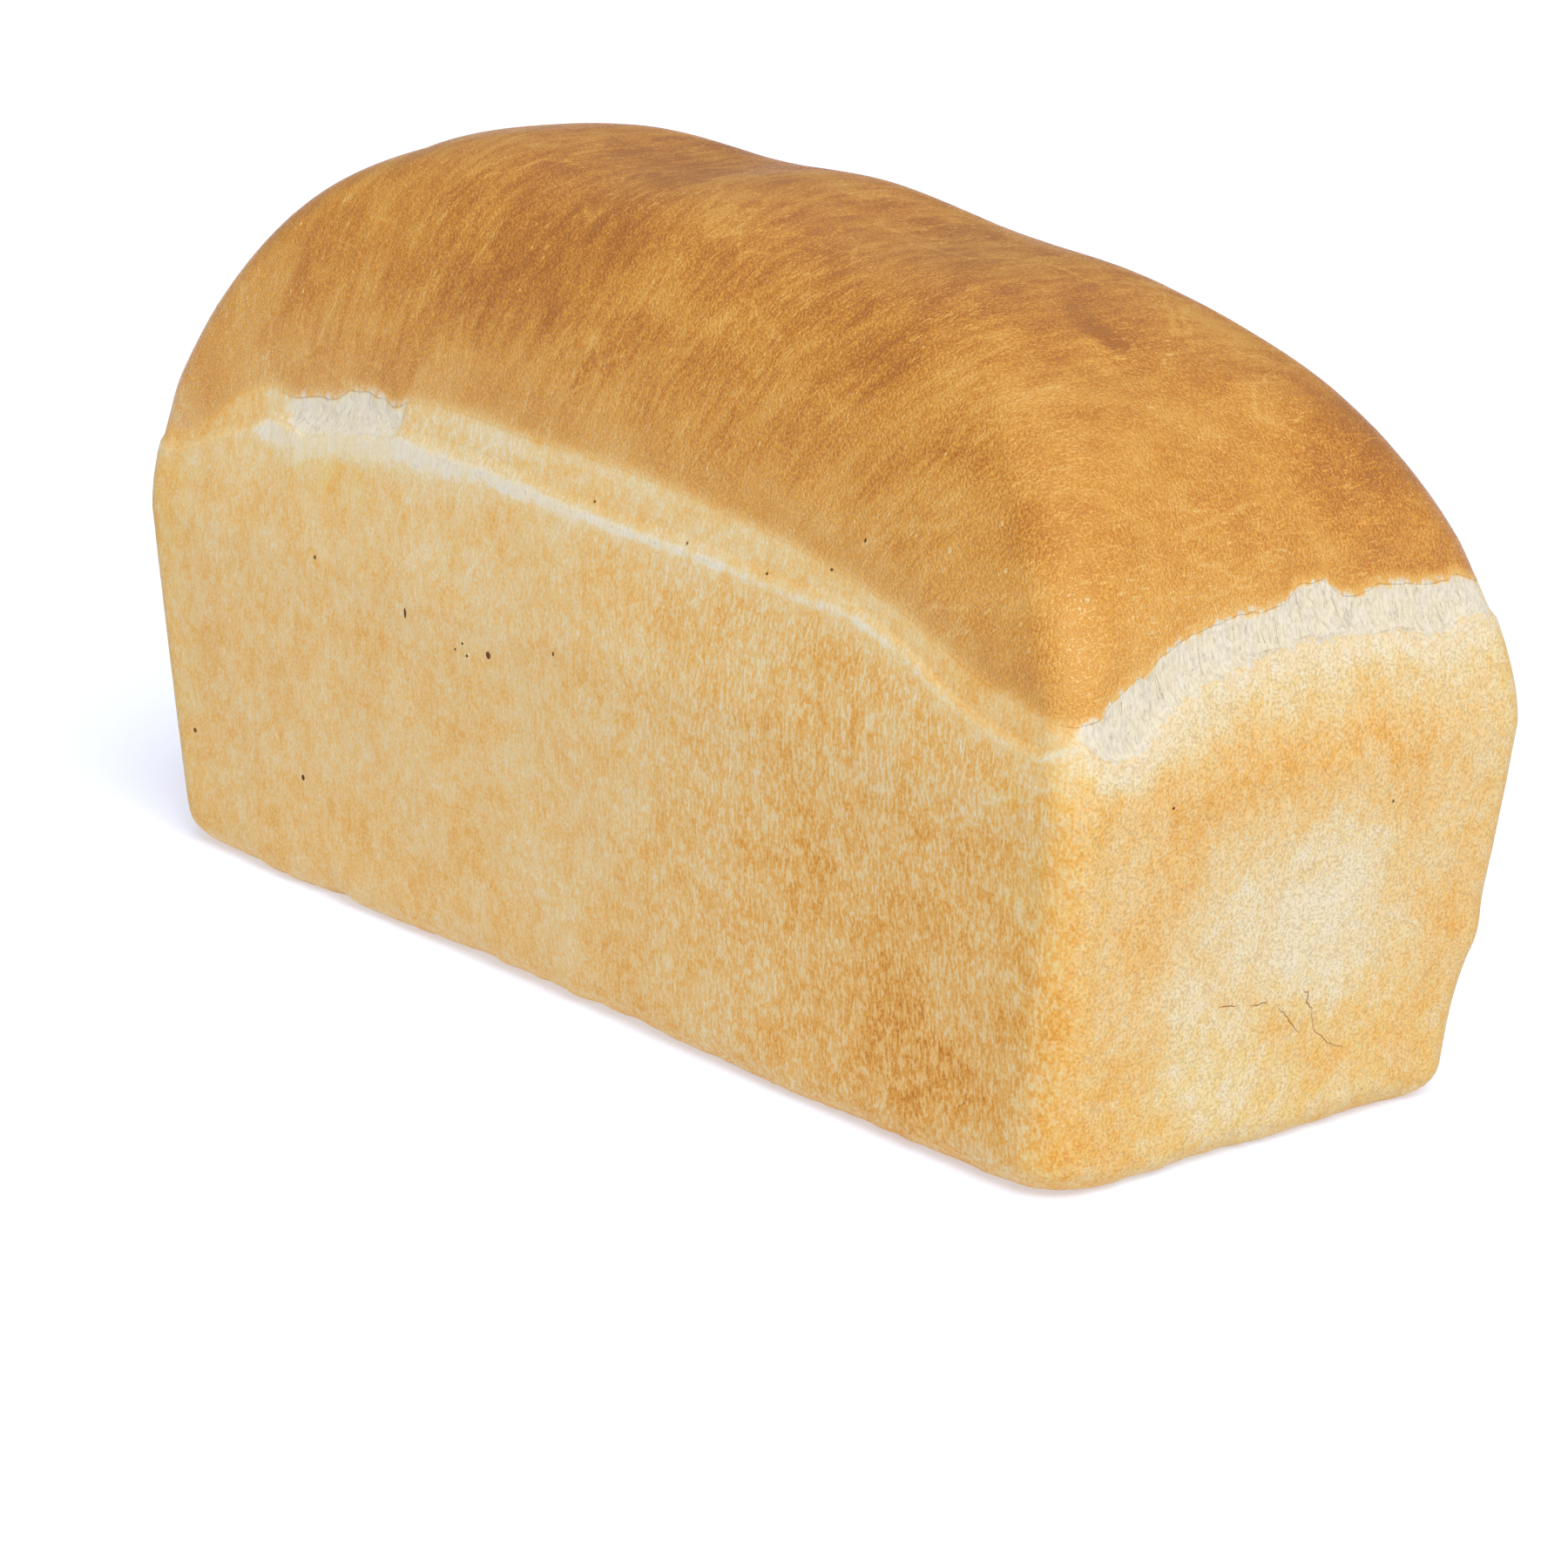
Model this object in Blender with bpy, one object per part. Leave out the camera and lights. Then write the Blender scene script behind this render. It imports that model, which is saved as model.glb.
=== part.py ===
"""A tin loaf: one uncut solid, baked in a tapered tin and risen to a dome above its rim.

X runs along the loaf, Y across it and Z up. The origin is in the middle, at the level of the flat base.
The skin is a stack of closed rings. Each ring is a rounded rectangle whose half sizes follow
the profile of the tin and then of the dome, so every point is set by its turn round the ring
and its nominal height.
"""

import math

import bmesh
import bpy
import numpy as np

# Driving dimensions, in metres.
HALF_LENGTH = 0.130  # at the widest line
HALF_WIDTH = 0.053
WIDEST_HEIGHT = 0.0664  # the walls flare up to here, and the dome closes above it
DOME_HEIGHT = 0.0760  # from the widest line to the ridge
WALL_LEAN = 0.073  # how far the wall leans out for each metre that it rises
FOOT_SHIFT = -0.0015  # the base sits this far towards -X of the widest line
BASE_EDGE_RADIUS = 0.0057
CORNER_RADIUS = 0.0062
CORNER_SOFTENING = 0.6  # how much rounder a corner gets for each metre that the dome closes
FOOT_CORNER_SOFTENING = 0.0040  # how much rounder the corners are at the base

# The dome's two profiles are superellipses.
DOME_END_REACH = 0.0517  # how far the ridge stops short of each end
DOME_RISE_POWER = 1.62
DOME_SIDE_POWER = 3.50
DOME_END_POWER = 2.46
RIDGE_SLOPE = -0.098  # the ridge is lower at the +X end
RIDGE_CROWN = -0.170  # and falls away towards both ends

# The tear where the dome has risen out of the tin, between the tin's crust and the dome's.
TEAR_HEIGHT = 0.0910
TEAR_CORNER_DROP = 0.0165  # dough fills the tin's corners last, so the tear dips there
TEAR_CORNER_REACH = 0.0160
TEAR_END_TILT = 0.030  # along an end, the tear climbs towards +Y
TEAR_SIDE_GAPE = 0.0085
TEAR_END_GAPE = 0.0130
TEAR_SIDE_DEPTH = 0.0003
TEAR_END_DEPTH = 0.0010
TEAR_FADE = 0.022  # the tear heals over this length, round the corner onto a side
TEAR_PATCH_X = -0.070  # the place on each side where it opens again
TEAR_PATCH_REACH = 0.022
TEAR_PATCH_DEPTH = 0.0010

# A blister and the hollow under it on the corner at +X +Y.
BLISTER_HEIGHT = 0.0295
BLISTER_SPREAD = 0.0045
BLISTER_SWELL = 0.0009
HOLLOW_HEIGHT = 0.0150
HOLLOW_SPREAD = 0.0095
HOLLOW_DEPTH = 0.0013
BLISTER_CORNER_REACH = 0.0130

# The dome's gentle unevenness.
RIPPLE_HEIGHT = 0.0012
RIPPLE_LENGTH = 0.062
RIPPLE_WIDTH = 0.150
RIPPLE_PHASE = 1.3

# How finely the skin is divided.
COLUMNS = 104  # a multiple of 4
BASE_ROWS = 5
WALL_ROWS = 9
DOME_ROWS = 22
RIDGE_GAP = 0.0020  # half the gap that the last ring leaves along the ridge
TEAR_ROWS = ((0.0, 0.0), (0.08, 0.85), (0.45, 1.0), (0.88, 0.85), (1.0, 0.0))  # rise, depth

CRUST_COLOUR = (0.66, 0.40, 0.16, 1.0)
CRUST_ROUGHNESS = 0.55
SHARP_EDGE = math.radians(38)


def rounded_rectangle(half_x, half_y, radius, turn):
    """The point a share `turn` of the way round, from +X towards +Y, quarter by quarter.

    Each quarter runs straight up the end, round the corner's arc and straight along the side.
    """
    quarter = np.floor(turn * 4).astype(int) % 4
    share = turn * 4 - np.floor(turn * 4)
    up_end = half_y - radius
    corner = radius * math.pi / 2
    along_side = half_x - radius
    run = np.where(quarter % 2 == 0, share, 1 - share) * (up_end + corner + along_side)
    angle = np.clip((run - up_end) / radius, 0, math.pi / 2)
    x = half_x - radius * (1 - np.cos(angle)) - np.maximum(run - up_end - corner, 0)
    y = np.minimum(run, up_end) + radius * np.sin(angle)
    return np.where((quarter == 1) | (quarter == 2), -x, x), np.where(quarter > 1, -y, y)


def half_sizes(height):
    """Half length, half width and corner radius at a nominal height: tin below, dome above."""
    below = np.clip(WIDEST_HEIGHT - height, 0, None)
    tuck = np.clip(1 - height / BASE_EDGE_RADIUS, 0, 1)
    inset = WALL_LEAN * below + BASE_EDGE_RADIUS * (1 - np.sqrt(1 - tuck**2))
    risen = np.clip((height - WIDEST_HEIGHT) / DOME_HEIGHT, 0, 1)
    left = 1 - risen**DOME_RISE_POWER
    half_y = HALF_WIDTH * left ** (1 / DOME_SIDE_POWER) - inset
    end = DOME_END_REACH * left ** (1 / DOME_END_POWER)
    half_x = HALF_LENGTH - DOME_END_REACH + end - inset
    radius = CORNER_RADIUS + CORNER_SOFTENING * (HALF_WIDTH - half_y - inset)
    radius = radius + FOOT_CORNER_SOFTENING * (below / WIDEST_HEIGHT) ** 2
    return half_x, half_y, radius


def true_height(height, x, y):
    """The height that the loaf has really risen to, where the dome would nominally be."""
    along = x / HALF_LENGTH
    risen = np.clip(height - WIDEST_HEIGHT, 0, None)
    ridge = 1 + RIDGE_SLOPE * along + RIDGE_CROWN * along**2
    ripple = np.sin(math.tau * x / RIPPLE_LENGTH + RIPPLE_PHASE) * np.cos(math.tau * y / RIPPLE_WIDTH)
    return height + risen * (ridge - 1) + RIPPLE_HEIGHT * ripple * risen / DOME_HEIGHT


def blister_swell(x, y, height):
    """How far the blister stands out and the hollow under it lies in, at a point of the wall."""
    away = np.hypot(x - HALF_LENGTH, y - HALF_WIDTH) / BLISTER_CORNER_REACH
    swell = BLISTER_SWELL * np.exp(-(((height - BLISTER_HEIGHT) / BLISTER_SPREAD) ** 2))
    hollow = HOLLOW_DEPTH * np.exp(-(((height - HOLLOW_HEIGHT) / HOLLOW_SPREAD) ** 2))
    return (swell - hollow) * np.exp(-(away**2))


def skin(height, turn, inset=0.0):
    """The skin's points at nominal heights and turns, set in by `inset` from the plain form."""
    half_x, half_y, radius = half_sizes(height)
    half_x = half_x - inset
    half_y = np.maximum(half_y - inset, RIDGE_GAP)
    radius = np.minimum(radius, half_y)
    x, y = rounded_rectangle(half_x, half_y, radius, turn)
    swell = blister_swell(x, y, height)
    outward = np.hypot(x, y)
    x, y = x + swell * x / outward, y + swell * y / outward
    shift = FOOT_SHIFT * np.clip(1 - height / WIDEST_HEIGHT, 0, None)
    return np.stack([x + shift, y, true_height(height, x, y)], axis=-1)


def tear(turn):
    """The tear at each turn: the nominal heights of its lower and upper lips, and its depth."""
    half_x, half_y, radius = half_sizes(np.full_like(turn, TEAR_HEIGHT))
    x, y = rounded_rectangle(half_x, half_y, radius, turn)
    corner = np.hypot(np.abs(x) - HALF_LENGTH, np.abs(y) - HALF_WIDTH)
    end = 1 / (1 + np.exp((HALF_LENGTH - np.abs(x) - TEAR_FADE) / (TEAR_FADE / 4)))
    low = TEAR_HEIGHT - TEAR_CORNER_DROP / (1 + (corner / TEAR_CORNER_REACH) ** 2)
    low = low + TEAR_END_TILT * y * end
    high = low + TEAR_SIDE_GAPE + (TEAR_END_GAPE - TEAR_SIDE_GAPE) * end
    patch = np.exp(-(((x - TEAR_PATCH_X) / TEAR_PATCH_REACH) ** 2))
    side_depth = TEAR_SIDE_DEPTH + (TEAR_PATCH_DEPTH - TEAR_SIDE_DEPTH) * patch
    return low, high, side_depth + (TEAR_END_DEPTH - side_depth) * end


def rings():
    """Every ring of the skin from the base to the ridge, as arrays of points."""
    turn = np.arange(COLUMNS) / COLUMNS
    low, high, depth = tear(turn)
    stack = []
    for share in np.linspace(0, 1, BASE_ROWS):
        foot = BASE_EDGE_RADIUS * (1 - math.cos(share * math.pi / 2))
        stack.append(skin(np.full_like(turn, foot), turn))
    for share in np.arange(1, WALL_ROWS + 1) / (WALL_ROWS + 1):
        stack.append(skin(BASE_EDGE_RADIUS + share * (low - BASE_EDGE_RADIUS), turn))
    for rise, set_in in TEAR_ROWS:
        stack.append(skin(low + rise * (high - low), turn, set_in * depth))
    # Above the tear the rows are even in the dome's angle, which keeps the ridge smooth.
    start = np.arcsin(((high - WIDEST_HEIGHT) / DOME_HEIGHT) ** (DOME_RISE_POWER / 2))
    closed = (RIDGE_GAP / HALF_WIDTH) ** DOME_SIDE_POWER
    stop = math.asin(math.sqrt(1 - closed))
    for share in np.arange(1, DOME_ROWS + 1) / DOME_ROWS:
        risen = np.sin(start + share * (stop - start)) ** (2 / DOME_RISE_POWER)
        stack.append(skin(WIDEST_HEIGHT + DOME_HEIGHT * risen, turn))
    return stack


def loaf_mesh():
    """The closed skin: quads between rings, one flat face below and a seam along the ridge."""
    bm = bmesh.new()
    loops = [[bm.verts.new(point) for point in ring] for ring in rings()]
    for lower, upper in zip(loops, loops[1:]):
        for this in range(COLUMNS):
            after = (this + 1) % COLUMNS
            bm.faces.new((lower[this], lower[after], upper[after], upper[this]))
    bm.faces.new(reversed(loops[0]))
    top = loops[-1]
    for this in range(COLUMNS // 2):
        corners = (top[this], top[this + 1], top[-this - 1], top[-this % COLUMNS])
        bm.faces.new(dict.fromkeys(corners))
    bmesh.ops.recalc_face_normals(bm, faces=bm.faces)
    mesh = bpy.data.meshes.new("loaf")
    bm.to_mesh(mesh)
    bm.free()
    mesh.shade_smooth()
    mesh.set_sharp_from_angle(angle=SHARP_EDGE)
    return mesh


def crust_material():
    """Baked crust: a golden, slightly satin surface."""
    material = bpy.data.materials.new("baked_crust")
    material.use_nodes = True
    shader = material.node_tree.nodes["Principled BSDF"]
    shader.inputs["Base Color"].default_value = CRUST_COLOUR
    shader.inputs["Roughness"].default_value = CRUST_ROUGHNESS
    shader.inputs["Metallic"].default_value = 0.0
    material.diffuse_color = CRUST_COLOUR
    return material


def main():
    for leftover in list(bpy.data.objects):
        bpy.data.objects.remove(leftover)
    loaf = bpy.data.objects.new("loaf", loaf_mesh())
    loaf.data.materials.append(crust_material())
    bpy.context.scene.collection.objects.link(loaf)


if __name__ == "__main__":
    main()
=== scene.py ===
"""Tin loaf: the looks of an uncut white loaf, baked in an open tin and risen over its rim.

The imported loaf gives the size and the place. Its plain skin is replaced by three closed pieces
that follow the same form: the crust that the tin shaped, the crumb that shows where the dough
tore above the rim, and the crust of the dome. Strands of crumb, blisters, scorched specks and
hair cracks lie on them. Heights called nominal run up the skin before the dome's own slope is
added; the tear, the browning and every mark are placed by them.
"""

import itertools
import math

import bpy
import numpy as np
from mathutils import Matrix, Vector


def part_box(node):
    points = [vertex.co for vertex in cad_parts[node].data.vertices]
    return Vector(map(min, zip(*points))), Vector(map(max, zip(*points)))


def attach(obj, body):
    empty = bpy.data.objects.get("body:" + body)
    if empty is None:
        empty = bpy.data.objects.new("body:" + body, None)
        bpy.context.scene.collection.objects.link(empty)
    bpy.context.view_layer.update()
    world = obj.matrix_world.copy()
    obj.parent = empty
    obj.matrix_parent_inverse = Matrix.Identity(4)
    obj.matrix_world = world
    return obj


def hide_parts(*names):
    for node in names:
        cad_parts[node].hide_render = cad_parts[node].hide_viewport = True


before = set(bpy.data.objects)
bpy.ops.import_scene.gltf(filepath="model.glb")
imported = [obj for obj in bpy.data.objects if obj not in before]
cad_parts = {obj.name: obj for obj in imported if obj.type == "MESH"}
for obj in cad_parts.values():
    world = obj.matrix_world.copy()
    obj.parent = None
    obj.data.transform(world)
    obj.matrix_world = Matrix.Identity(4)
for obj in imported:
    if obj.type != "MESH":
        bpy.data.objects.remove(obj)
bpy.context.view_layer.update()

bl_info = {
    "name": "Tin loaf",
    "version": (1, 0, 0),
    "blender": (4, 5, 0),
    "location": "View3D > Sidebar > Loaf",
    "description": "Crusts, torn crumb and baking marks of a white tin loaf",
    "category": "Add Mesh",
}

BODY = "root"
NODE = "loaf"
MM = 0.001

# The loaf's form, from the frame.
LOWEST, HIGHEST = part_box(NODE)
HALF_LENGTH = (HIGHEST.x - LOWEST.x) / 2
HALF_WIDTH = (HIGHEST.y - LOWEST.y) / 2
HEIGHT = HIGHEST.z - LOWEST.z
WIDEST_HEIGHT = 0.460 * HEIGHT
DOME_HEIGHT = 0.527 * HEIGHT
WALL_LEAN = 0.073
FOOT_SHIFT = -1.5 * MM
BASE_EDGE_RADIUS = 5.7 * MM
CORNER_RADIUS = 6.2 * MM
CORNER_SOFTENING = 0.6
FOOT_CORNER_SOFTENING = 4.0 * MM
DOME_END_REACH = 51.7 * MM
DOME_RISE_POWER = 1.62
DOME_SIDE_POWER = 3.50
DOME_END_POWER = 2.46
RIDGE_SLOPE = -0.098
RIDGE_CROWN = -0.170
RIPPLE_HEIGHT = 1.2 * MM
RIPPLE_LENGTH = 62 * MM
RIPPLE_WIDTH = 150 * MM
RIPPLE_PHASE = 1.3
BLISTER_HEIGHT = 29.5 * MM
BLISTER_SPREAD = 4.5 * MM
BLISTER_SWELL = 0.9 * MM
HOLLOW_HEIGHT = 15 * MM
HOLLOW_SPREAD = 9.5 * MM
HOLLOW_DEPTH = 1.3 * MM
BLISTER_CORNER_REACH = 13 * MM

# Rows and columns of the grids. The columns crowd towards the two ends, where the tear is open.
CRUST_COLUMNS = 960
UNDERSIDE_ROWS = 12
FOOT_ROWS = 9
WALL_ROWS = 76
DOME_ROWS = 97
CRUMB_COLUMNS = 1640
CRUMB_ROWS = 54
CROWDING = 0.30
RIDGE_GAP = 0.4 * MM
SECTION_STEPS = 4000
LATTICE = 64
NUDGE = 0.2 * MM  # the step that slopes are measured over

# The tear, station by station round the loaf: where it is along its face, the nominal heights of
# its lower and upper lips, how wide open it is, and how pale the dough stayed there.
TEAR = {
    "near": (
        (-50.5, 83.0, 86.0, 0.35, 0.55),
        (-47, 79.5, 87.2, 0.9, 1.0),
        (-42.5, 77.6, 90.6, 1.0, 1.0),
        (-38.5, 78.4, 93.6, 1.0, 1.0),
        (-34.5, 82.3, 95.3, 1.0, 1.0),
        (-30, 86.5, 97.6, 1.0, 1.0),
        (-22.5, 89, 100, 1.0, 1.0),
        (-13, 91.2, 100.6, 1.0, 1.0),
        (-2.5, 92.7, 101.6, 1.0, 1.0),
        (3, 92.9, 104.2, 1.0, 1.0),
        (9, 92.8, 104, 1.0, 1.0),
        (15, 92.4, 100.8, 1.0, 1.0),
        (25, 92, 101.2, 1.0, 1.0),
        (34, 90, 101, 1.0, 1.0),
        (42, 92.6, 100.6, 0.9, 1.0),
        (51, 90, 97.5, 0.3, 0.9),
    ),
    "back": (
        (116, 84, 92, 0.0, 0.45),
        (98, 89, 97, 0.1, 0.45),
        (62, 92, 100, 0.0, 0.5),
        (30, 92.5, 100.5, 0.0, 0.6),
        (2, 90.5, 99, 0.5, 0.9),
        (-18, 90, 99.5, 0.9, 1.0),
        (-40, 91.5, 99.5, 0.2, 0.9),
        (-75, 90.5, 98.5, 0.0, 0.5),
        (-104, 86.5, 93.5, 0.0, 0.3),
        (-120, 80, 87.5, 0.0, 0.2),
    ),
    "far": (
        (48, 78.5, 87.5, 0.5, 0.9),
        (40, 80.5, 92.5, 1.0, 1.0),
        (28, 88, 98.5, 1.0, 1.0),
        (12, 91.5, 102.5, 1.0, 1.0),
        (-8, 92.5, 101.5, 1.0, 1.0),
        (-26, 90.5, 100.5, 1.0, 1.0),
        (-38, 86, 95, 0.8, 0.9),
        (-49, 81, 86.5, 0.1, 0.4),
    ),
    "front": (
        (-121, 80.4, 83.6, 0.0, 0.1),
        (-113, 83.2, 87.5, 0.0, 0.13),
        (-108, 85.2, 92, 0.0, 0.12),
        (-99, 88, 96.3, 0.0, 0.3),
        (-93, 90.4, 95.8, 0.15, 0.9),
        (-85, 89.4, 95.6, 0.62, 1.0),
        (-79, 89.2, 97.7, 1.0, 1.0),
        (-70, 90.8, 99.6, 1.0, 1.0),
        (-62, 92.3, 99.8, 1.0, 1.0),
        (-56, 93.4, 99.4, 0.9, 1.0),
        (-52, 94.1, 100.2, 0.1, 0.92),
        (-40, 93.2, 100.8, 0.0, 0.9),
        (-20, 93, 100.1, 0.0, 0.74),
        (0, 92.2, 100.5, 0.0, 0.56),
        (20, 91.5, 100.2, 0.0, 0.46),
        (42, 91.4, 99.1, 0.0, 0.43),
        (62, 91.3, 98.4, 0.0, 0.4),
        (78, 91.5, 96.6, 0.0, 0.38),
        (92, 87.6, 94.1, 0.0, 0.34),
        (101, 83.2, 90.9, 0.0, 0.3),
        (110, 80.5, 88.4, 0.0, 0.28),
        (122, 79, 86.8, 0.0, 0.28),
    ),
}
LIP_ROUNDING = 0.25 * MM
TUCK = 1.2 * MM  # how far the crumb runs on under each lip
TORN_SOFTNESS = 4.0 * MM  # how far from the upper lip the crumb is sure to be bare
LOWER_SOFTNESS = 1.5 * MM  # and from the lower one
SHELF_DEPTH = 0.45 * MM  # how far in the band above the rim lies
FOOT_RECESS = 0.55 * MM  # how far the foot is drawn in where it meets the floor
FOOT_REACH = 4.5 * MM
FILLED_CORNER = 2.2 * MM  # how far the foot stands out again at +X +Y, where dough filled the tin
FILLED_REACH = 11 * MM
FOOT_RAGS = ((15 * MM, 0.8 * MM), (6 * MM, 0.6 * MM), (2.6 * MM, 0.3 * MM))  # size, height
UPPER_RAGS = ((7 * MM, 0.9 * MM), (3.2 * MM, 0.7 * MM), (1.7 * MM, 0.25 * MM))  # size, height
LOWER_RAGS = ((10 * MM, 0.5 * MM), (3.0 * MM, 0.4 * MM), (1.2 * MM, 0.2 * MM))

# Scorched specks: face, along, nominal height, half width and half height, all in millimetres.
SPECKS = (
    ("front", -18.7, 61, 0.75, 0.7),
    ("front", -43.1, 63.5, 0.4, 1.0),
    ("front", -71.3, 68, 0.4, 0.4),
    ("front", -26.3, 61.5, 0.35, 0.25),
    ("front", -28.4, 60, 0.3, 0.25),
    ("front", -25, 59.5, 0.3, 0.3),
    ("front", 0.3, 65.5, 0.3, 0.4),
    ("front", -119.7, 24, 0.6, 0.5),
    ("front", -81.4, 23.5, 0.5, 0.6),
    ("front", 55.3, 92.2, 0.3, 0.3),
    ("front", 71.8, 97.2, 0.35, 0.25),
    ("front", 80.8, 104.2, 0.3, 0.35),
    ("front", 33.8, 92, 0.25, 0.3),
    ("front", 7.4, 93.8, 0.3, 0.25),
    ("near", 21, 58, 0.25, 0.3),
    ("near", -31, 66, 0.3, 0.25),
    ("back", 44, 52, 0.5, 0.45),
    ("back", -37, 71, 0.35, 0.5),
    ("back", 83, 33, 0.3, 0.3),
    ("far", -14, 47, 0.4, 0.4),
    ("far", 23, 80, 0.3, 0.3),
)
# Hair cracks on the near end: along and nominal height in millimetres, and half width.
CRACKS = (
    (((-15.0, 28.6), (-12.6, 28.5), (-10.4, 28.0)), 0.10),
    (((-7.0, 27.2), (-5.1, 27.5), (-3.0, 27.1)), 0.11),
    (((5.6, 27.9), (6.6, 27.0), (7.0, 25.2), (8.2, 24.0)), 0.15),
    (((8.2, 24.0), (9.0, 20.5), (13.6, 16.5), (18.3, 15.0)), 0.08),
    (((-0.8, 26.0), (2.0, 23.6), (6.0, 20.0)), 0.10),
)
# Round pale blisters that stand alone on the dome's near shoulder: along, height and radius.
SHOULDER_BLISTERS = (
    (103, 108.2, 0.55),
    (101.2, 104.5, 0.5),
    (117.6, 116.2, 0.6),
    (117.5, 109.2, 0.5),
    (121.8, 97.8, 0.55),
    (134, 108.5, 0.6),
    (120.2, 101.5, 0.45),
)
SCATTERED_BLISTERS = 90
BLISTER_PROUD = 0.12 * MM
BLISTER_PALER = 0.22  # how much less browned a blister is than the crust round it
SPECK_PROUD = 0.10 * MM
CRACK_SHAKE = 0.12 * MM
CRACK_PROUD = 0.05 * MM
STRANDS = 240
STRAND_BOW = 0.10 * MM
STRAND_BEDDING = 0.05 * MM  # how far a strand is let into the crumb
BEAD_ROWS = 5
BEAD_COLUMNS = 8
STRAND_ROWS = 6
STRAND_COLUMNS = 5
CRACK_ROWS = 12


def linear(code):
    """An sRGB hex colour as linear red, green, blue and alpha."""
    parts = [int(code[i : i + 2], 16) / 255 for i in (1, 3, 5)]
    return [c / 12.92 if c <= 0.04045 else ((c + 0.055) / 1.055) ** 2.4 for c in parts] + [1.0]


def step(low, high, value):
    """A smooth step from 0 at low to 1 at high: 3t^2 - 2t^3."""
    share = np.clip((value - low) / (high - low), 0, 1)
    return share * share * (3 - 2 * share)


def bell(value, centre, below, above):
    """A bell curve, exp(-d^2), whose reach differs below and above its centre."""
    return np.exp(-(((value - centre) / np.where(value < centre, below, above)) ** 2))


def spot(x, y, centre_x, centre_y, reach_x, reach_y, power=2):
    """A round spot, 1 in its centre: exp(-d^power), with d in units of its reach."""
    away = np.hypot((x - centre_x) / reach_x, (y - centre_y) / reach_y)
    return np.exp(-(away**power))


def lumps(points, size, seed):
    """Smooth random lumps of about this size, from -1 to 1.

    Random values on a cubic lattice, blended between the eight corners round each point with
    3t^2 - 2t^3 along each axis.
    """
    lattice = np.random.default_rng(seed).uniform(-1, 1, (LATTICE,) * 3)
    scaled = points / np.asarray(size)
    cell = np.floor(scaled).astype(int)
    ease = scaled - cell
    ease = ease * ease * (3 - 2 * ease)
    total = np.zeros(points.shape[:-1])
    for corner in itertools.product((0, 1), repeat=3):
        weight = np.prod(np.where(corner, ease, 1 - ease), axis=-1)
        total += weight * lattice[tuple(np.moveaxis((cell + corner) % LATTICE, -1, 0))]
    return total


def rounded_rectangle(half_x, half_y, radius, turn):
    """The point a share `turn` of the way round, from +X towards +Y, and how far it faces an end.

    Each quarter runs straight up the end, round the corner's arc and straight along the side.
    """
    quarter = np.floor(turn * 4).astype(int) % 4
    share = turn * 4 - np.floor(turn * 4)
    up_end = half_y - radius
    corner = radius * math.pi / 2
    along_side = half_x - radius
    run = np.where(quarter % 2 == 0, share, 1 - share) * (up_end + corner + along_side)
    angle = np.clip((run - up_end) / radius, 0, math.pi / 2)
    x = half_x - radius * (1 - np.cos(angle)) - np.maximum(run - up_end - corner, 0)
    y = np.minimum(run, up_end) + radius * np.sin(angle)
    x = np.where((quarter == 1) | (quarter == 2), -x, x)
    y = np.where(quarter > 1, -y, y)
    return x, y, np.cos(angle) ** 2


def half_sizes(height):
    """Half length, half width and corner radius at a nominal height.

    Below the widest line the walls lean out from a rounded foot. Above it both half sizes
    shrink as superellipses of the height risen.
    """
    below = np.clip(WIDEST_HEIGHT - height, 0, None)
    tuck = np.clip(1 - height / BASE_EDGE_RADIUS, 0, 1)
    inset = WALL_LEAN * below + BASE_EDGE_RADIUS * (1 - np.sqrt(1 - tuck**2))
    risen = np.clip((height - WIDEST_HEIGHT) / DOME_HEIGHT, 0, 1)
    left = 1 - risen**DOME_RISE_POWER
    half_y = HALF_WIDTH * left ** (1 / DOME_SIDE_POWER) - inset
    end = DOME_END_REACH * left ** (1 / DOME_END_POWER)
    half_x = HALF_LENGTH - DOME_END_REACH + end - inset
    radius = CORNER_RADIUS + CORNER_SOFTENING * (HALF_WIDTH - half_y - inset)
    radius = radius + FOOT_CORNER_SOFTENING * (below / WIDEST_HEIGHT) ** 2
    return half_x, half_y, radius


def true_height(height, x, y):
    """The height that the dough has really risen to, where the dome would nominally be."""
    along = x / HALF_LENGTH
    risen = np.clip(height - WIDEST_HEIGHT, 0, None)
    ridge = 1 + RIDGE_SLOPE * along + RIDGE_CROWN * along**2
    ripple = np.sin(math.tau * x / RIPPLE_LENGTH + RIPPLE_PHASE) * np.cos(math.tau * y / RIPPLE_WIDTH)
    return height + risen * (ridge - 1) + RIPPLE_HEIGHT * ripple * risen / DOME_HEIGHT


def blister_swell(x, y, height):
    """A bump over a hollow on the corner at +X +Y: two bell curves up the corner."""
    away = np.hypot(x - HALF_LENGTH, y - HALF_WIDTH) / BLISTER_CORNER_REACH
    swell = BLISTER_SWELL * np.exp(-(((height - BLISTER_HEIGHT) / BLISTER_SPREAD) ** 2))
    hollow = HOLLOW_DEPTH * np.exp(-(((height - HOLLOW_HEIGHT) / HOLLOW_SPREAD) ** 2))
    return (swell - hollow) * np.exp(-(away**2))


def skin(height, turn, inset=0.0):
    """Points of the plain form at nominal heights and turns, set in by `inset`, and how far each
    faces an end."""
    half_x, half_y, radius = half_sizes(height)
    half_x = half_x - inset
    half_y = np.maximum(half_y - inset, RIDGE_GAP)
    radius = np.minimum(np.maximum(radius - inset, RIDGE_GAP), half_y)
    x, y, end = rounded_rectangle(half_x, half_y, radius, turn)
    swell = blister_swell(x, y, height) / np.hypot(x, y)
    shift = FOOT_SHIFT * np.clip(1 - height / WIDEST_HEIGHT, 0, None)
    place = np.stack([x * (1 + swell) + shift, y * (1 + swell), true_height(height, x, y)], axis=-1)
    return place, end


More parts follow.
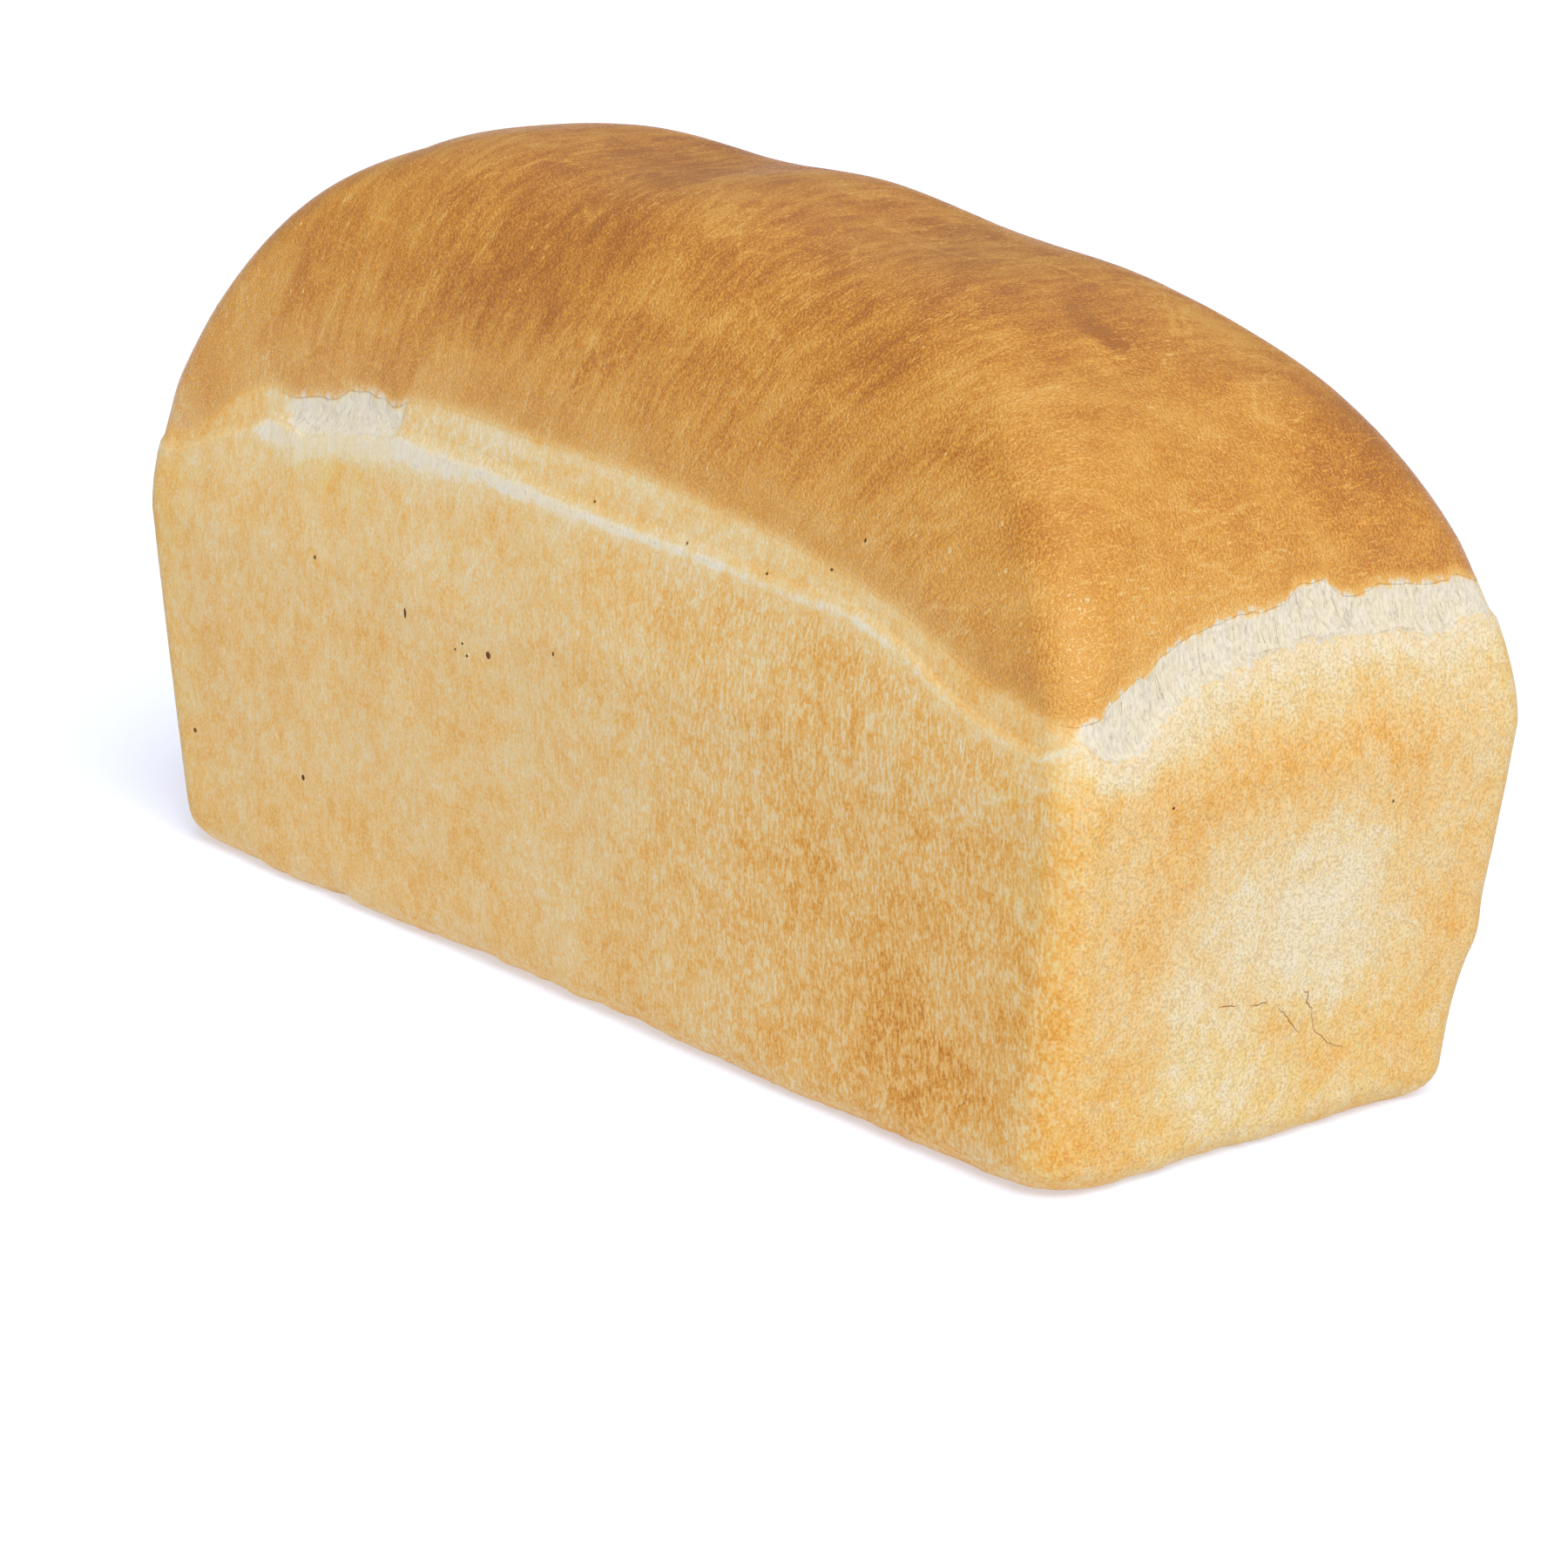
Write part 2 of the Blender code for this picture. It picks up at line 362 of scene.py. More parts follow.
def unit(vectors):
    """The same directions, one long."""
    return vectors / np.maximum(np.linalg.norm(vectors, axis=-1, keepdims=True), 1e-12)


def directions(height, turn):
    """Unit vectors round, up and out of the plain form, from small steps along it."""
    aside = NUDGE / run_round("near", 0)[1]
    around = unit(skin(height, turn + aside)[0] - skin(height, turn - aside)[0])
    upward = skin(height + NUDGE, turn)[0] - skin(np.maximum(height - NUDGE, 0), turn)[0]
    outward = unit(np.cross(around, upward))
    return around, unit(np.cross(outward, around)), outward


def run_round(face, along):
    """How far round the widest ring a place on a face is, from the middle of the near end."""
    up_end = HALF_WIDTH - CORNER_RADIUS
    quarter = up_end + CORNER_RADIUS * math.pi / 2 + HALF_LENGTH - CORNER_RADIUS
    return {
        "near": along,
        "back": quarter - along,
        "far": 2 * quarter - along,
        "front": 3 * quarter + along,
    }[face] % (4 * quarter), 4 * quarter


def turn_at(face, along):
    """The share of the way round at a place on a face."""
    run, whole = run_round(face, along)
    return run / whole


def crowded_turns(count):
    """Columns round the loaf, closer together at both ends: u - c sin(4 pi u) / (4 pi)."""
    even = np.arange(count) / count
    return even - CROWDING * np.sin(4 * math.pi * even) / (4 * math.pi)


def tear(turn):
    """The tear at each turn: nominal heights of its lips, how open it is, how pale it is.

    A closed curve through the stations: each span is a cubic with the slope at a station taken
    from its two neighbours.
    """
    rows = []
    for face, stations in TEAR.items():
        for along, low, high, gape, pale in stations:
            rows.append((turn_at(face, along * MM), low * MM, high * MM, gape, pale))
    rows = np.array(sorted(rows))
    before, after = rows[-3:].copy(), rows[:3].copy()
    before[:, 0] -= 1
    after[:, 0] += 1
    rows = np.concatenate([before, rows, after])
    place, value = rows[:, 0], rows[:, 1:]
    slope = (value[2:] - value[:-2]) / (place[2:] - place[:-2])[:, None]
    place, value = place[1:-1], value[1:-1]
    span = np.searchsorted(place, turn, side="right") - 1
    width = (place[span + 1] - place[span])[:, None]
    t = (turn[:, None] - place[span][:, None]) / width
    curve = (
        (2 * t**3 - 3 * t**2 + 1) * value[span]
        + (t**3 - 2 * t**2 + t) * width * slope[span]
        + (3 * t**2 - 2 * t**3) * value[span + 1]
        + (t**3 - t**2) * width * slope[span + 1]
    )
    low, high, gape, pale = curve.T
    return low, high, np.clip(gape, 0, 1), np.clip(pale, 0, 1)


def ragged(turn, sizes, seed):
    """A ragged line round the loaf: lumps of several sizes and heights, added."""
    angle = math.tau * turn
    reach = run_round("near", 0)[1] / math.tau
    circle = np.stack([reach * np.cos(angle), reach * np.sin(angle), 0 * angle], axis=-1)
    return sum(height * lumps(circle, size, seed + n) for n, (size, height) in enumerate(sizes))


def lips(turn):
    """The tear with its ragged lips, and how far it has ripped open."""
    low, high, gape, pale = tear(turn % 1)
    ripped = step(0.15, 0.6, gape)
    low = low + ripped * ragged(turn, LOWER_RAGS, 11)
    high = high + ripped * ragged(turn, UPPER_RAGS, 21)
    return low, high, ripped, pale


def relief(points, height, low, high):
    """How far the baked surface stands out from the plain form.

    Broad lumps everywhere, a fine upright grain where the tin held the dough, soft creases
    across the dome, and a shallow shelf just above the tin's rim.
    """
    dome = step(low, high + 8 * MM, height)
    broad = 0.45 * MM * lumps(points, 42 * MM, 31) + 0.14 * MM * lumps(points, 13 * MM, 32)
    grain = 0.06 * MM * lumps(points, (1.9 * MM, 1.9 * MM, 4 * MM), 33)
    creases = 0.07 * MM * lumps(points, (9 * MM, 26 * MM, 26 * MM), 34)
    creases += 0.03 * MM * lumps(points, (3 * MM, 10 * MM, 10 * MM), 35)
    shelf = step(low - 0.5 * MM, low + 2 * MM, height) * (1 - step(high, high + 9 * MM, height))
    return broad + (1 - dome) * grain + dome * creases - SHELF_DEPTH * shelf


def surface(height, turn, sunk=0.0, raised=0.0):
    """Points of the finished skin at nominal heights and turns, and how far each faces an end.

    The plain form, set in by `sunk`, is moved along its normals by the relief and by `raised`,
    and the foot is drawn in level by a scalloped recess.
    """
    low, high = lips(turn)[:2]
    points, end = skin(height, turn, sunk)
    outward = directions(height, turn)[2]
    rise = relief(points, height, low, high) + raised
    scallop = ragged(turn, FOOT_RAGS, 36) - FOOT_RECESS
    filled = spot(points[..., 0], points[..., 1], HALF_LENGTH, HALF_WIDTH, FILLED_REACH, FILLED_REACH)
    scallop = scallop + FILLED_CORNER * filled
    foot = scallop * np.exp(-((height / FOOT_REACH) ** 2))
    points = points + outward * rise[..., None] + unit(outward * [1, 1, 0]) * foot[..., None]
    points[..., 2] = np.maximum(points[..., 2], 0)
    return points, end


def lip_ring(height, turn, inset, lift):
    """One ring just inside a lip, moved in level by `inset` and up by `lift`."""
    points, end = surface(height, turn)
    level = unit(directions(height, turn)[2] * [1, 1, 0])
    points = points - level * np.broadcast_to(inset, turn.shape)[:, None]
    points[:, 2] += lift
    return points, end


def side_toast(x, height):
    """Browning of a long side between foot and rim: least left of the middle, most to the right.

    Like the two that follow, a sum of steps and spots: a share of browning times a place in
    millimetres.
    """
    toast = 0.38 + 0.01 * step(-40, -70, x) + 0.055 * step(-5, 75, x)
    toast = toast + 0.20 * spot(x, height, 92, 18, 17, 14) + 0.06 * spot(x, height, 74, 46, 26, 20)
    toast = toast + 0.04 * step(84, 104, x) * step(70, 58, height) - 0.08 * spot(x, height, 118, 3, 14, 9)
    return toast - 0.06 * spot(x, height, -20, 74, 60, 10)


def end_toast(y, height):
    """Browning of an end between foot and rim: an arch over a pale floury patch."""
    toast = 0.34 + 0.10 * step(-40, -51, y) + 0.05 * step(50, 72, height) * step(34, 10, y)
    arch = bell(height, 70, 7, 6) * step(42, 26, y) * step(-46, -36, y)
    arch = np.maximum(arch, bell(y, -31, 9, 8) * step(18, 34, height) * step(80, 70, height))
    toast = toast + 0.12 * arch
    patch = spot(y, height, 6, 39, 24, 15, 3)
    swathe = spot(0.7 * y + 0.7 * height, 0.7 * y - 0.7 * height, 3, -24, 9, 24, 3)
    patch = np.maximum(patch, np.maximum(0.8 * swathe, 0.3 * spot(y, height, -4, 8, 22, 9, 3)))
    toast = toast - 0.30 * patch
    toast = toast + 0.14 * spot(y, height, -42, 12, 9, 11) + 0.10 * spot(y, height, 39, 36, 8, 20)
    return toast - 0.10 * spot(y, height, 44, 70, 10, 12)


def dome_toast(x, y, height):
    """Browning of the dome: darkest along its middle, paler towards both shoulders."""
    toast = 0.735 + 0.065 * step(104, 124, height) + 0.02 * step(70, 90, x)
    toast = toast + 0.09 * step(-52, -36, x) * step(8, -12, x) * step(108, 126, height)
    toast = toast + 0.06 * spot(x, height, -48, 136, 22, 10)
    toast = toast + 0.07 * step(0, 30, x) * step(86, 60, x) * step(120, 136, height)
    toast = toast - 0.035 * step(62, 96, x)
    toast = toast - 0.05 * step(-70, -105, x) * step(128, 110, height)
    far_corner = 0.16 * step(4, 34, y) * step(84, 116, x)
    blotch = 0.09 * spot(x, y, 86, -4, 14, 12) + 0.24 * spot(x, y, 82.8, -7.2, 3.6, 2.8, 3)
    return toast + far_corner + blotch


def yellowness(x, y, height, end, low):
    """How yellow the pale crust is: most at the foot of the ends, down the corners and in a
    patch under the side's open tear."""
    foot = end * step(36, 14, height)
    edge = step(106, 122, np.abs(x)) * step(40, 49, np.abs(y)) * step(low + 1, low - 6, height)
    patch = spot(x * np.where(y < 0, 1, -1), height, -69, 84.5, 12, 5, 3) * (1 - end)
    return np.clip(0.34 + 0.62 * foot + 0.6 * edge + 0.7 * patch, 0, 1)


def rim_line(points, height, low, pale):
    """The rim's white line, in pieces of uneven strength: thick where the dough is palest."""
    broken = np.clip(0.9 + 0.4 * lumps(points, 7 * MM, 75) + 0.5 * lumps(points, 2.4 * MM, 76), 0, 1.3)
    width = bell(height, low - 0.6 - 1.2 * pale**2, 0.6 + 2.2 * pale**2, 0.6 + 1.1 * pale**2)
    return step(0.12, 0.6, pale) * width * broken, broken


def browning(points, height, end, tearing):
    """The share of browning over the whole skin, from 0 for floury dough to 1 for the darkest crust.

    Tin walls below the rim and dome above it, with the pale line of the rim and the tan band of
    stretched dough between them. Lumps shift every place a little, so no edge runs smooth.
    """
    low, high, ripped, pale = tearing
    x, y, h = points[..., 0] / MM, points[..., 1] / MM, height / MM
    low, high = low / MM, high / MM
    shift_along = 5 * lumps(points, 15 * MM, 73) + 2.5 * lumps(points, 5 * MM, 77)
    shift_up = 5 * lumps(points, 13 * MM, 74) + 2.5 * lumps(points, 4 * MM, 78)
    wall_x, wall_y, wall_h = x + shift_along, y + shift_along, h + shift_up
    side = np.where(y < 0, side_toast(wall_x, wall_h), side_toast(-0.8 * wall_x, wall_h + 3))
    ends = np.where(x > 0, end_toast(wall_y, wall_h), end_toast(6 - wall_y, 0.9 * wall_h + 2))
    wall = side + (ends - side) * end
    wall = wall + 0.03 * lumps(points, 17 * MM, 71) + 0.03 * lumps(points, 7 * MM, 72)
    dome = dome_toast(x + shift_along, y + 0.3 * shift_up, h)
    dome = dome + 0.03 * lumps(points, 9 * MM, 79)
    # Below the lower lip the dough slid up the hot tin last, and stayed cream.
    cream = np.clip(0.38 - 0.22 * pale - 0.07 * pale * end, 0, 1)
    faded = (0.7 + 0.3 * end) * bell(h + 0.5 * shift_up, low, 7 + 2.5 * end, 30)
    toast = wall + (np.minimum(cream, wall) - wall) * faded
    # The rim's own line, thick where it is palest, and the band above it.
    line, broken = rim_line(points, h, low, pale)
    near_corner = (1 - end) * step(88, 104, np.abs(x))
    contour = bell(h, high - 0.9, 2.4, 0.9) * step(0.1, 0.6, pale) * broken * (1 - 0.7 * near_corner)
    band = 0.38 - 0.08 * pale + 0.14 * step(0.5, 0.15, pale) - 0.13 * contour
    toast = toast + (band - toast) * step(low - 0.5, low + 2, h)
    toast = toast + (0.0 - toast) * np.clip(1.3 * line, 0, 1)
    soft = (1.2 + 3 * step(0.4, 0.1, pale)) * (1 - ripped)
    to_dome = step(high - 0.9 - soft, high + 1.8 + soft + 0.4 * end, h + 0.1 * shift_up)
    shoulder = dome - 0.07 * bell(h, high, 9, 7) * (1 - end) * step(110, 80, x)
    toast = toast + (shoulder - toast) * to_dome
    # The torn upper lip has a gold rim.
    rim = 0.56 + (dome - 0.56) * step(high - 0.4, high + 3, h + 0.2 * shift_up)
    toast = toast + (rim - toast) * ripped * step(high - 0.4, high - 0.1, h)
    return toast


def grain_line(points, height):
    """Where a point lies across the dome's creases, which lean out towards both ends."""
    x, rise = points[..., 0], height - 90 * MM
    warp = 4 * MM * lumps(points, 40 * MM, 41) + 1.0 * MM * lumps(points, 12 * MM, 42)
    return x - rise * (0.25 + 4 * x) + warp


def grid_mesh(name, points, marks, sharp_rows=()):
    """A closed mesh from rings of points, stacked from bottom to top.

    Quads join ring to ring, and both end rings are closed by quads between each column and its
    mirror across the loaf. `marks` are one number a point, kept as attributes of those names.
    """
    rows, columns = points.shape[:2]
    index = np.arange(rows * columns).reshape(rows, columns)
    this, above = index[:-1], index[1:]
    walls = np.stack([this, np.roll(this, -1, 1), np.roll(above, -1, 1), above], -1).reshape(-1, 4)
    near = np.arange(1, columns // 2 - 1)
    lid = np.stack([near, near + 1, columns - near - 1, columns - near], -1)
    half = columns // 2
    tips = np.array([[0, 1, columns - 1], [half - 1, half, half + 1]])
    top = (rows - 1) * columns
    quads = np.concatenate([walls, lid + top, lid[:, ::-1]])
    triangles = np.concatenate([tips + top, tips[:, ::-1]])
    mesh = bpy.data.meshes.new(name)
    mesh.from_pydata(points.reshape(-1, 3), [], quads.tolist() + triangles.tolist())
    mesh.shade_smooth()
    keep_marks(mesh, marks, points.shape[:2])
    ends = np.empty(2 * len(mesh.edges), np.int32)
    mesh.edges.foreach_get("vertices", ends)
    row = ends.reshape(-1, 2) // columns
    sharp = np.isin(row, sharp_rows).all(axis=1) & (row[:, 0] == row[:, 1])
    mesh.attributes.new("sharp_edge", "BOOLEAN", "EDGE").data.foreach_set("value", sharp)
    mesh.update()
    return mesh


def keep_marks(mesh, marks, shape):
    """Stores one number a point under each mark's name."""
    for mark, values in marks.items():
        values = np.asarray(np.broadcast_to(values, shape), np.float32)
        mesh.attributes.new(mark, "FLOAT", "POINT").data.foreach_set("value", values.reshape(-1))


def tubes_mesh(name, spine, side, out, columns, marks):
    """Many closed tubes in one mesh: each ring is its spine point + side cos a + out sin a.

    `spine`, `side` and `out` hold one row of vectors for each tube. Quads join ring to ring, and
    a flat cap closes each end.
    """
    count, rows = spine.shape[:2]
    angle = np.arange(columns) / columns * math.tau
    ring = np.cos(angle)[:, None] * side[:, :, None] + np.sin(angle)[:, None] * out[:, :, None]
    points = spine[:, :, None] + ring
    index = np.arange(points.size // 3).reshape(count, rows, columns)
    this, above = index[:, :-1], index[:, 1:]
    walls = np.stack([this, np.roll(this, -1, 2), np.roll(above, -1, 2), above], -1).reshape(-1, 4)
    caps = np.concatenate([index[:, 0, ::-1], index[:, -1]])
    mesh = bpy.data.meshes.new(name)
    mesh.from_pydata(points.reshape(-1, 3), [], walls.tolist() + caps.tolist())
    mesh.shade_smooth()
    keep_marks(mesh, {mark: np.asarray(v)[:, None, None] for mark, v in marks.items()}, index.shape)
    mesh.update()
    return mesh


def beads_mesh(name, turn, height, half_width, half_height, proud, marks):
    """Flat beads, half sunk in the skin: ellipsoids drawn as short tubes from pole to pole."""
    centre = surface(height, turn)[0][:, None]
    around, upward, outward = (v[:, None] for v in directions(height, turn))
    angle = np.linspace(0.12, math.pi - 0.12, BEAD_ROWS)[None, :, None]
    half_width, half_height, proud = (
        np.broadcast_to(v, turn.shape)[:, None, None] for v in (half_width, half_height, proud)
    )
    spine = centre - upward * half_height * np.cos(angle)
    side = around * half_width * np.sin(angle)
    out = outward * proud * np.sin(angle)
    return tubes_mesh(name, spine, -side, out, BEAD_COLUMNS, marks)


def show(name, mesh, material):
    """Puts a mesh in the scene as a piece that rides on the loaf's body."""
    piece = bpy.data.objects.new(name, mesh)
    piece.data.materials.append(material)
    bpy.context.scene.collection.objects.link(piece)
    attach(piece, BODY)
    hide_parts(NODE)
    return piece


def marks_of(points, height, end, tearing):
    """The marks that the bread's material reads at every point.

    Browning; how far up the dome it is; how far it faces an end; how bare the crumb is; how
    strong the tin's flecks, the rim's tufts and the dome's streaks are; the place across the
    dome's creases; and how yellow the crust is.
    """
    low, high, ripped, pale = tearing
    x, y = points[..., 0], points[..., 1]
    along = x * np.where(y < 0, 1, -1)
    side = 0.40 + 0.60 * step(-20 * MM, 60 * MM, along)
    inside = np.minimum((height - low) / LOWER_SOFTNESS, (high - height) / TORN_SOFTNESS)
    torn = ripped * np.clip(0.5 + inside, 0, 1)
    line = rim_line(points, height / MM, low / MM, pale)[0]
    band = step(low, low + MM, height) * step(high + 3 * MM, high, height)
    rim = np.maximum(bell(height, low, 4 * MM, 3 * MM), band)
    return {
        "toast": browning(points, height, end, tearing),
        "dome": step(high - 1.5 * MM, high + 2 * MM, height),
        "end": end,
        "torn": np.maximum(torn, 0.85 * step(0.15, 0.75, line) * (1 - 0.8 * ripped)),
        "fleck": (side + (0.35 - side) * end) * step(0, 6 * MM, low - height),
        "tuft": rim * (0.35 + 0.65 * pale),
        "streak": step(112 * MM, 85 * MM, np.abs(x)) * step(high, high + 9 * MM, height),
        "across": grain_line(points, height),
        "butter": yellowness(x / MM, y / MM, height / MM, end, low / MM),
    }


def tin_crust_mesh(sizes):
    """The crust that the tin shaped: underside, rounded foot and walls, up to the lower lip."""
    turn = crowded_turns(CRUST_COLUMNS)
    low, high, ripped, pale = lips(turn)
    foot = BASE_EDGE_RADIUS * (1 - np.cos(np.linspace(0, math.pi / 2, FOOT_ROWS)))
    share = (np.arange(WALL_ROWS) + 1) / WALL_ROWS
    height = np.concatenate([
        np.repeat(foot[:, None], CRUST_COLUMNS, axis=1),
        BASE_EDGE_RADIUS + share[:, None] * (low - BASE_EDGE_RADIUS),
    ])
    proud = sizes.lip_lift * ripped * step(low - 5 * MM, low, height)
    points, end = surface(height, turn, raised=proud)
    # The underside: the foot's ring drawn in towards the middle line, row by row.
    shrink = np.linspace(0.02, 1, UNDERSIDE_ROWS + 1)[:-1, None, None]
    ring = points[:1]
    spine = ring * [1, 0, 0] * (1 - HALF_WIDTH / HALF_LENGTH)
    under = spine + (ring - spine) * shrink
    hollow = 0.5 * MM * np.sin(math.pi * shrink[..., 0]) * (1 + lumps(under, 9 * MM, 51))
    under[..., 2] = hollow
    # The lip: a small rounding where the dough tore, then a ledge that runs in under the crumb.
    rounding = LIP_ROUNDING * ripped
    ledge = [
        lip_ring(low, turn, rounding - sizes.lip_lift * ripped, 0.5 * rounding)[0],
        lip_ring(low, turn, sizes.lip, -0.3 * MM)[0],
    ]
    all_points = np.concatenate([under, points, np.stack(ledge)])
    all_heights = np.concatenate([0 * under[..., 0], height, np.stack([low, low])])
    all_ends = np.concatenate([np.repeat(end[:1], UNDERSIDE_ROWS, 0), end, end[-1:], end[-1:]])
    marks = marks_of(all_points, all_heights, all_ends, (low, high, ripped, pale))
    lip_row = UNDERSIDE_ROWS + FOOT_ROWS + WALL_ROWS + 1
    return grid_mesh("tin_crust", all_points, marks, (lip_row,))


def dome_levels(start, share):
    """Nominal heights of rows evenly spaced along the dome's cross-section, from `start` up."""
    swing = np.linspace(0, math.pi / 2, SECTION_STEPS)
    heights = WIDEST_HEIGHT + DOME_HEIGHT * np.sin(swing) ** (2 / DOME_RISE_POWER)
    half_y = half_sizes(heights)[1]
    walked = np.concatenate([[0], np.cumsum(np.hypot(np.diff(heights), np.diff(half_y)))])
    begin = np.interp(start, heights, walked)
    stop = np.interp(-RIDGE_GAP, -half_y, walked)
    return np.interp(begin + share * (stop - begin), walked, heights)


def dome_crust_mesh(sizes):
    """The dome's crust, from the ragged upper lip to the ridge."""
    turn = crowded_turns(CRUST_COLUMNS)
    low, high, ripped, pale = lips(turn)
    share = np.linspace(0, 1, DOME_ROWS)[:, None] ** 1.25
    height = dome_levels(high, share)
    points, end = surface(height, turn)
    rounding = LIP_ROUNDING * ripped
    ledge = [
        lip_ring(high, turn, sizes.lip, 0.3 * MM)[0],
        lip_ring(high, turn, rounding, -0.5 * rounding)[0],
    ]
    all_points = np.concatenate([np.stack(ledge), points])
    all_heights = np.concatenate([np.stack([high, high]), height])
    all_ends = np.concatenate([end[:1], end[:1], end])
    marks = marks_of(all_points, all_heights, all_ends, (low, high, ripped, pale))
    return grid_mesh("dome_crust", all_points, marks, (1,))


def crumb_depth(height, low, high, ripped, sizes):
    """How far the crumb lies in: level with the lower lip, and deepest under the upper one."""
    sunk = sizes.tear_depth * (0.3 + 0.7 * step(low, low + 4 * MM, height))
    return 0.04 * MM + ripped * sunk * (1 - 0.75 * step(high - 3 * MM, high, height))


def torn_crumb_mesh(sizes):
    """The band between the lips: crumb pulled into upright strands where the dough tore, and a
    smooth stretch of pale crust where it held."""
    turn = crowded_turns(CRUMB_COLUMNS)
    low, high, ripped, pale = lips(turn)
    share = np.linspace(0, 1, CRUMB_ROWS)[:, None]
    height = low - TUCK + share * (high - low + 2 * TUCK)
    inside = step(low - TUCK, low + MM, height) * (1 - step(high - MM, high + TUCK, height))
    run = turn * run_round("near", 0)[1] * np.ones_like(height)
    strand = np.stack([run, height, 0 * run], axis=-1)
    strand[..., 0] += 1.2 * MM * lumps(strand, 7 * MM, 60) + 0.5 * MM * lumps(strand, 2.4 * MM, 64)
    pulled = 0.10 * MM * lumps(strand, (2.6 * MM, 4.5 * MM, MM), 61)
    pulled += 0.035 * MM * lumps(strand, (0.9 * MM, 1.8 * MM, MM), 62)
    pits = np.clip(lumps(strand, (1.5 * MM, 1.9 * MM, MM), 63) - 0.45, 0, 1)
    # In places the crumb has parted from the lower lip, and left a fine dark gap.
    parted = 0.45 * MM * step(0.0, 0.5, lumps(strand, (9 * MM, MM, MM), 65))
    gap = parted * bell(height, low + 0.45 * MM, 0.35 * MM, 0.45 * MM)
    end = skin(height, turn)[1]
    raised = ripped * (inside * (pulled - 0.16 * MM * pits + 0.05 * MM) - gap * end)
    points, end = surface(height, turn, crumb_depth(height, low, high, ripped, sizes), raised)
    flaps = [skin(level, turn, 4 * MM + 0 * level)[0] for level in (height[0], height[-1])]
    all_points = np.concatenate([flaps[:1], points, flaps[1:]])
    all_heights = np.concatenate([height[:1], height, height[-1:]])
    all_ends = np.concatenate([end[:1], end, end[-1:]])
    marks = marks_of(all_points, all_heights, all_ends, (low, high, ripped, pale))
    return grid_mesh("torn_crumb", all_points, marks, (1, CRUMB_ROWS))


def crumb_strands_mesh(sizes):
    """Thin strands of crumb that still bridge the tear.

    Each runs up from a random place near the lower lip, leaning and bowing out a little, and is
    thickest at its two roots.
    """
    random = np.random.default_rng(81)
    turn = random.uniform(0, 1, 12 * STRANDS)
    low, high, ripped, pale = lips(turn)
    kept = np.flatnonzero(ripped > 0.9)[:STRANDS]
    turn, low, high = turn[kept], low[kept], high[kept]
    begin = random.uniform(0.05, 0.65, STRANDS)
    length = random.uniform(0.15, 0.4, STRANDS)
    thick = sizes.strand * random.uniform(0.6, 1.3, STRANDS)
    lean = random.normal(0, 0.0009, STRANDS)
    share = np.linspace(0, 1, STRAND_ROWS)[None]
    rise = np.clip(begin[:, None] + length[:, None] * share, 0, 0.97)
    height = (low[:, None] + rise * (high - low)[:, None]).reshape(-1)
    whole = (turn[:, None] + lean[:, None] * share).reshape(-1)
    sunk = crumb_depth(height, *(np.repeat(v, STRAND_ROWS) for v in (low, high)), 1, sizes)
    bow = STRAND_BOW * np.sin(math.pi * np.broadcast_to(share, rise.shape)).reshape(-1)
    spine = surface(height, whole, sunk - STRAND_BEDDING, bow)[0].reshape(STRANDS, STRAND_ROWS, 3)
    around, _, outward = (v.reshape(spine.shape) for v in directions(height, whole))
    radius = (thick[:, None] * (0.55 + 0.75 * (2 * share - 1) ** 2))[..., None]
    return tubes_mesh(
        "crumb_strands", spine, -around * radius, outward * radius, STRAND_COLUMNS,
        {"toast": 0 * turn, "torn": 1 + 0 * turn},
    )


def blisters_mesh(sizes):
    """Pale blisters on the dome: tiny flat beads, most of them in clusters, some of them drawn
    out along the dome's creases."""
    random = np.random.default_rng(91)
    places = np.array(SHOULDER_BLISTERS)
    turn = random.uniform(0, 1, 6 * SCATTERED_BLISTERS)
    height = (100 + 40 * random.uniform(0, 1, turn.size) ** 1.3) * MM
    clustered = lumps(skin(height, turn)[0], 24 * MM, 92) > 0.05
    turn, height = (v[clustered][:SCATTERED_BLISTERS] for v in (turn, height))
    size = random.uniform(0.18, 0.42, turn.size) ** 1.2 * MM * 1.1
    long = random.uniform(1, 2.2, turn.size)
    turn = np.concatenate([turn_at("front", 0) + places[:, 0] * MM / run_round("near", 0)[1], turn]) % 1
    height = np.concatenate([places[:, 1] * MM, height])
    size = np.concatenate([places[:, 2] * MM, size]) * sizes.blister
    long = np.concatenate([np.full(len(places), 1.1), long])
    points, end = surface(height, turn)
    toast = browning(points, height, end, lips(turn)) - BLISTER_PALER
    return beads_mesh(
        "blisters", turn, height, size, size * long, BLISTER_PROUD, {"toast": toast, "dome": 1 + 0 * toast}
    )


def specks_mesh():
    """Specks of scorched dough: flat dark beads where they baked on."""
    turn = np.array([turn_at(face, along * MM) for face, along, *_ in SPECKS])
    height, half_width, half_height = np.array([speck[2:] for speck in SPECKS]).T * MM
    return beads_mesh("scorched_specks", turn, height, half_width, half_height, SPECK_PROUD, {})


